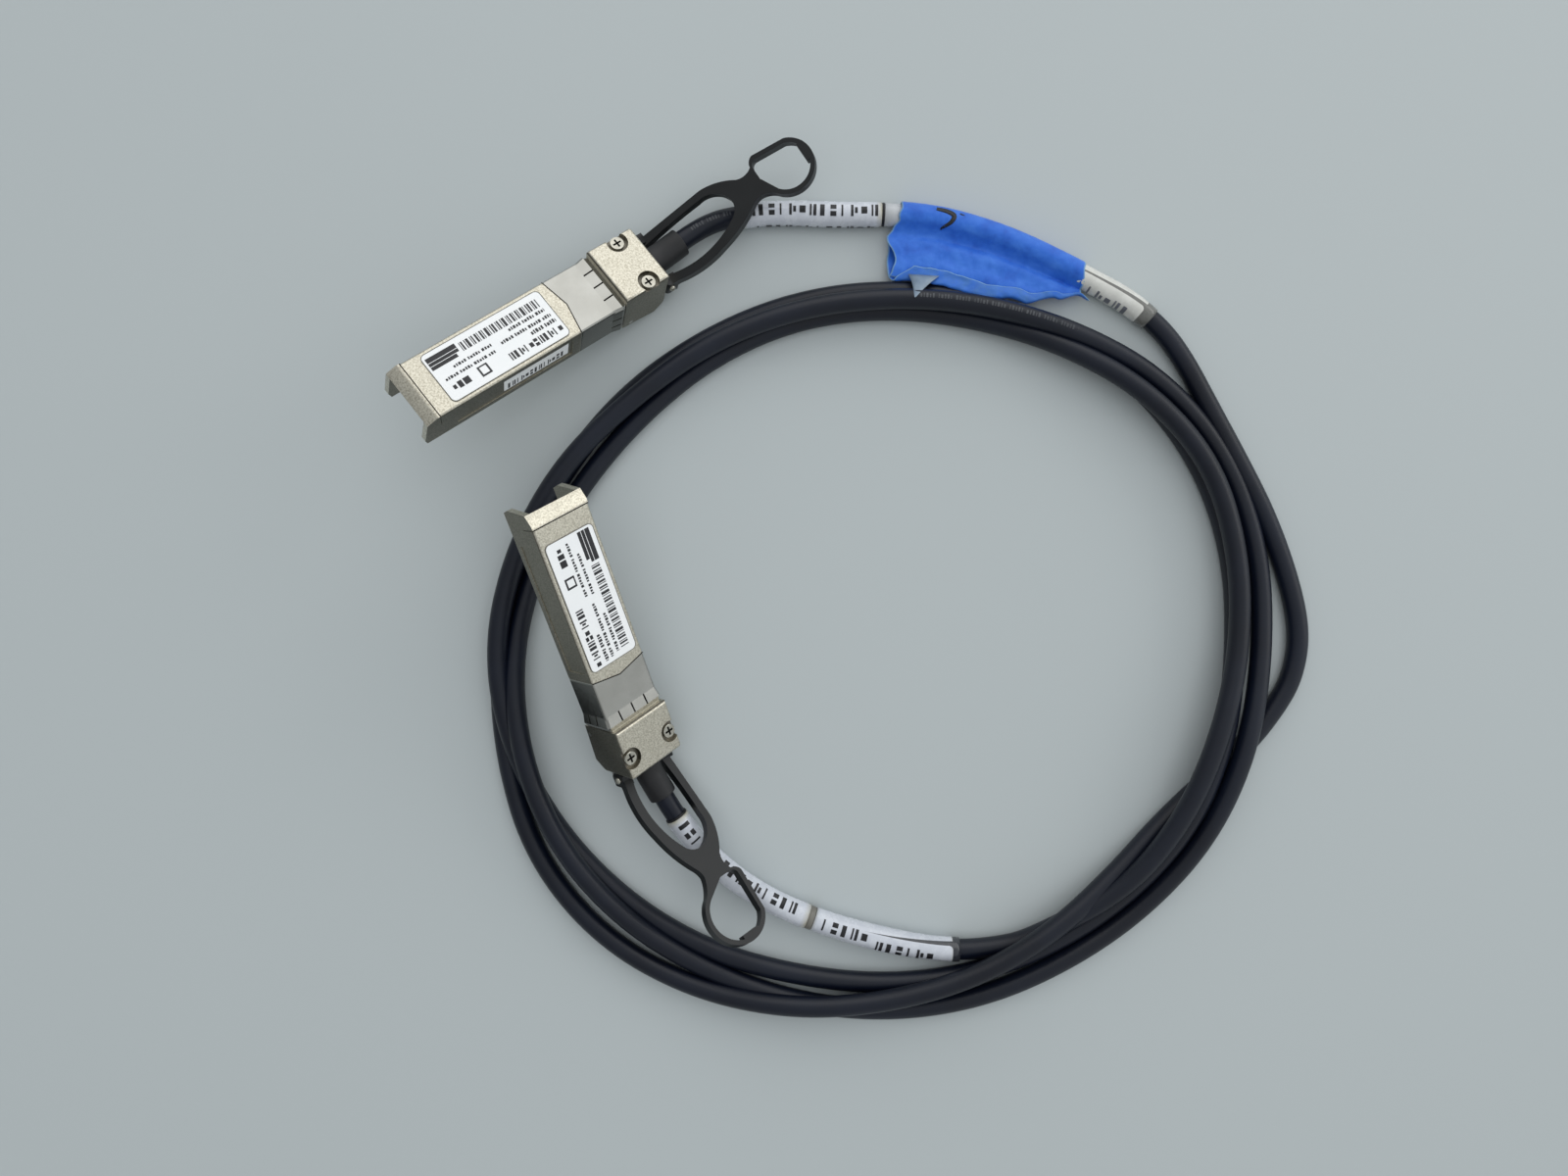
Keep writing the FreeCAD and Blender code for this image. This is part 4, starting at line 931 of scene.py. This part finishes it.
# pen lines through points on the table, in millimetres
strokes = {
    "tape_pen": {"points": [(32.6, 81.0), (34.9, 80.4), (36.3, 79.4), (35.6, 78.0), (33.5, 76.9)],
                 "width": 1.1},
    "tape_pen_dot": {"points": [(37.6, 79.9), (38.6, 79.5)], "width": 0.35},
}


def strokeOn(piece, name, points, width, step=0.25):
    # a pen line laid on a piece from above
    tree = BVHTree.FromPolygons([vertex.co for vertex in piece.data.vertices],
                                [face.vertices for face in piece.data.polygons])
    count = max(4, int(sum(math.dist(a, b) for a, b in zip(points, points[1:])) / step))
    line = [throughPoints([(*point, 0) for point in points], number / count)
            for number in range(count + 1)]

    def place(row, column):
        before, after = line[max(0, row - 1)], line[min(count, row + 1)]
        heading = (after - before).normalized()
        thin = 1 - 0.45 * abs(2 * row / count - 0.75) ** 2
        spot = line[row] + Vector((-heading.y, heading.x, 0)) * (width * thin * (column - 1) / 2)
        top = tree.ray_cast(spot * mm + gridStart + Vector((0, 0, 0.1)), Vector((0, 0, -1)))[0]
        return top + Vector((0, 0, penLift))

    stroke = gridPiece(name, count + 1, 3, place)
    thicken(stroke, inkDepth)
    return finishPiece(stroke, name, "root", "paper_tape", finishes["ink"]).name


# a thin torn strip that stands up off the tape's lower edge, on the table's grid in millimetres
tail = {"left": (26.6, 67.2, 4.3), "right": (33.2, 66.8, 4.3), "tip": (27.6, 61.2, 8.7),
        "sheet": 0.08, "bend": 1.1, "sway": 0.2, "rows": 10, "columns": 4}


def makeTail():
    left, right, tip = (Vector(tail[corner]) for corner in ("left", "right", "tip"))

    def place(row, column):
        share = row / (tail["rows"] - 1)
        spot = left.lerp(right, column / (tail["columns"] - 1)).lerp(tip, share)
        spot.z += tail["bend"] * share * (1 - share)
        spot.x += tail["sway"] * math.sin(share * 4 + column)
        return spot * mm + gridStart

    piece = gridPiece("tape_tail", tail["rows"], tail["columns"], place)
    thicken(piece, tail["sheet"] * mm, 0)
    return finishPiece(piece, "tape_tail", "root", "paper_tape", finishes["tail"]).name


tapePiece = makeTape()
onCable.append(tapePiece.name)
for name, look in strokes.items():
    onCable.append(strokeOn(tapePiece, name, **look))
onCable.append(makeTail())
print("tape", len(tapePiece.data.polygons))


def onModule(tag, height, flip=1):
    place = moduleMatrix(tag)
    return lambda across, up: place @ (Vector((across, flip * up, height)) * mm)


def labelRim(tag):
    # a thin line of painted shade round the label, along its edge
    look = labels["top"]
    left, right, low, high = look["box"]
    corner, place = look["corner"], onModule(tag, look["height"] + look["rimLift"])
    outline = []
    for number, (across, up) in enumerate(((right, high), (left, high), (left, low),
                                           (right, low))):
        inX = across + (corner if across == left else -corner)
        inY = up + (corner if up == low else -corner)
        for step in range(7):
            outline.append((inX, inY, math.radians(90 * number + 15 * step)))

    def rimPlace(row, column):
        inX, inY, way = outline[column]
        reach = corner - 0.02 + look["rim"] * row
        return place(inX + reach * math.cos(way), inY + reach * math.sin(way))

    rim = gridPiece(f"label_rim_{tag}", 2, len(outline), rimPlace, closed=True)
    thicken(rim, look["rimDepth"] * mm)
    finishPiece(rim, f"label_rim_{tag}", "root", "label_film", finishes["rim"])


# dark lines of painted shade in the gaps where the nose meets the lid, where the sheet collar
# starts and under its slots: start, end, half width and height
seams = [((3.06, -6.75), (3.06, 6.75), 0.11, 8.525), ((36.62, -6.75), (37.97, 0), 0.11, 8.525),
         ((37.97, 0), (36.62, 6.75), 0.11, 8.525), ((44.6, -3.4), (47.1, -3.4), 0.26, 8.33),
         ((44.6, 0), (47.1, 0), 0.26, 8.33), ((44.6, 3.4), (47.1, 3.4), 0.26, 8.33)]


def seamLines(tag):
    verts, faces = [], []
    for start, end, half, height in seams:
        place = onModule(tag, height)
        start, end = Vector(start), Vector(end)
        heading = (end - start).normalized()
        aside = Vector((heading.y, -heading.x)) * half
        faces.append(tuple(range(len(verts), len(verts) + 4)))
        verts += [place(*corner) for corner in (start + aside, end + aside, end - aside,
                                                start - aside)]
    piece = thicken(meshPiece(f"seam_lines_{tag}", verts, faces), inkDepth)
    finishPiece(piece, f"seam_lines_{tag}", "root", "die_cast_shell", finishes["seam"])


def marksOf(look):
    return rowOfMarks(look["from"], look["base"], look["count"], look["wide"], look["high"],
                      look["pitch"], look["order"])


def printLabel(tag):
    top, code = labels["top"], labels["code"]
    bars = labels["block"] + labels["bold"]
    across, number = code["from"], 0
    while across < code["to"]:
        wide = code["bars"][number % len(code["bars"])]
        bars.append((across, across + wide, code["low"], code["high"]))
        across += wide + code["gap"] * (1 + number % 2)
        number += 1
    for start, end, base, high in labels["small"]:
        bars += lineOfPrint(start, end, base, high, (0.42, 0.3, 0.52, 0.36), 0.2)
    bars += marksOf(labels["large"])
    inkPiece(f"label_print_{tag}", bars, onModule(tag, top["height"] + top["printLift"]), 9,
             "label_film", "ink")


def printSide(tag):
    place = moduleMatrix(tag)
    inkPiece(f"side_print_{tag}", marksOf(labels["side"]), lambda across, up: place @ (
        Vector((across, labels["side"]["face"], up)) * mm), 9, "label_film", "ink")


# ten contact pads on each face of the board's front edge, two of them shorter
pads = {"from": 2.45, "to": 5.85, "short": 0.6, "wide": 0.5, "pitch": 0.8,
        "faces": {"top": (4.63, 1), "under": (3.57, -1)}}


def boardPads(tag):
    for side, (height, flip) in pads["faces"].items():
        bars = []
        for number in range(10):
            middle = (number - 4.5) * pads["pitch"]
            start = pads["from"] + (pads["short"] if number in (2, 7) else 0)
            bars.append((start, pads["to"], middle - pads["wide"] / 2, middle + pads["wide"] / 2))
        inkPiece(f"board_pads_{side}_{tag}", bars, onModule(tag, height, flip), 9,
                 "circuit_board", "gold")


for tag in modules:
    labelRim(tag)
    seamLines(tag)
    printLabel(tag)
    boardPads(tag)
printSide("a")
print("labels printed")

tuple(cablePoints()[0])
lengthOf(cableLine)


stage = {"middle": (0.04, -0.02, 0), "floor": 1.6, "floorColour": (0.50, 0.545, 0.555),
         # the room is brighter on the window's side: its air's colour, its strength away from
         # that side and toward it, and the way there
         "air": (0.86, 0.9, 0.92), "world": (0.30, 0.84), "toward": (0.80, 0.45, -0.15)}
lamps = {
    "window": {"at": (0.15, 0.92, 0.66), "size": (1.1, 1.1), "power": 3.2,
               "colour": (1, 0.99, 0.97)},
    "side": {"at": (0.958, 0.389, 0.447), "size": (0.80, 0.35), "power": 1.5,
             "colour": (1, 0.99, 0.96)},
    # a soft fill from overhead that bright metal doesn't mirror
    "fill": {"at": (0.04, -0.02, 1.1), "size": (1.2, 1.2), "power": 3.4, "colour": (0.98, 0.99, 1),
             "mirrored": False},
}
overhead = {"at": (0.03591, -0.01093, 0.2565), "lens": 27.04, "sensor": 36.0}


def makeFloor():
    deselectAll()
    bpy.ops.mesh.primitive_plane_add(size=stage["floor"], location=stage["middle"])
    floor = bpy.context.object
    floor.name = "tableTop"
    material, _, shader = newMaterial("tableTop")
    shader.inputs["Base Color"].default_value = (*stage["floorColour"], 1)
    shader.inputs["Roughness"].default_value = 0.6
    floor.data.materials.append(material)


def makeLamps():
    for name, look in lamps.items():
        light = bpy.data.lights.new(name, "AREA")
        light.shape = "RECTANGLE"
        light.size, light.size_y = look["size"]
        light.energy = look["power"]
        light.color = look["colour"]
        lamp = linkPiece(name, light)
        lamp.location = look["at"]
        lamp.visible_glossy = look.get("mirrored", True)
        lamp.rotation_euler = (Vector(stage["middle"]) - lamp.location).to_track_quat(
            "-Z", "Y").to_euler()


def makeRoom():
    world = bpy.data.worlds.new("softRoom")
    world.use_nodes = True
    tree = world.node_tree
    sky = tree.nodes["Background"]
    sky.inputs["Color"].default_value = (*stage["air"], 1)
    way = tree.nodes.new("ShaderNodeTexCoord")
    toward = stepOf(tree, "VectorMath", "DOT_PRODUCT", way.outputs["Generated"], stage["toward"])
    tree.links.new(spread(tree, toward, *stage["world"], (-0.9, 0.9)), sky.inputs["Strength"])
    bpy.context.scene.world = world


def makeCamera():
    data = bpy.data.cameras.new("overhead")
    data.lens = overhead["lens"]
    data.sensor_width = overhead["sensor"]
    data.clip_start = 0.01
    camera = linkPiece("overhead", data)
    camera.location = overhead["at"]
    bpy.context.scene.camera = camera


makeFloor()
makeLamps()
makeRoom()
makeCamera()
bpy.context.scene.view_settings.view_transform = "Standard"
print("stage set")
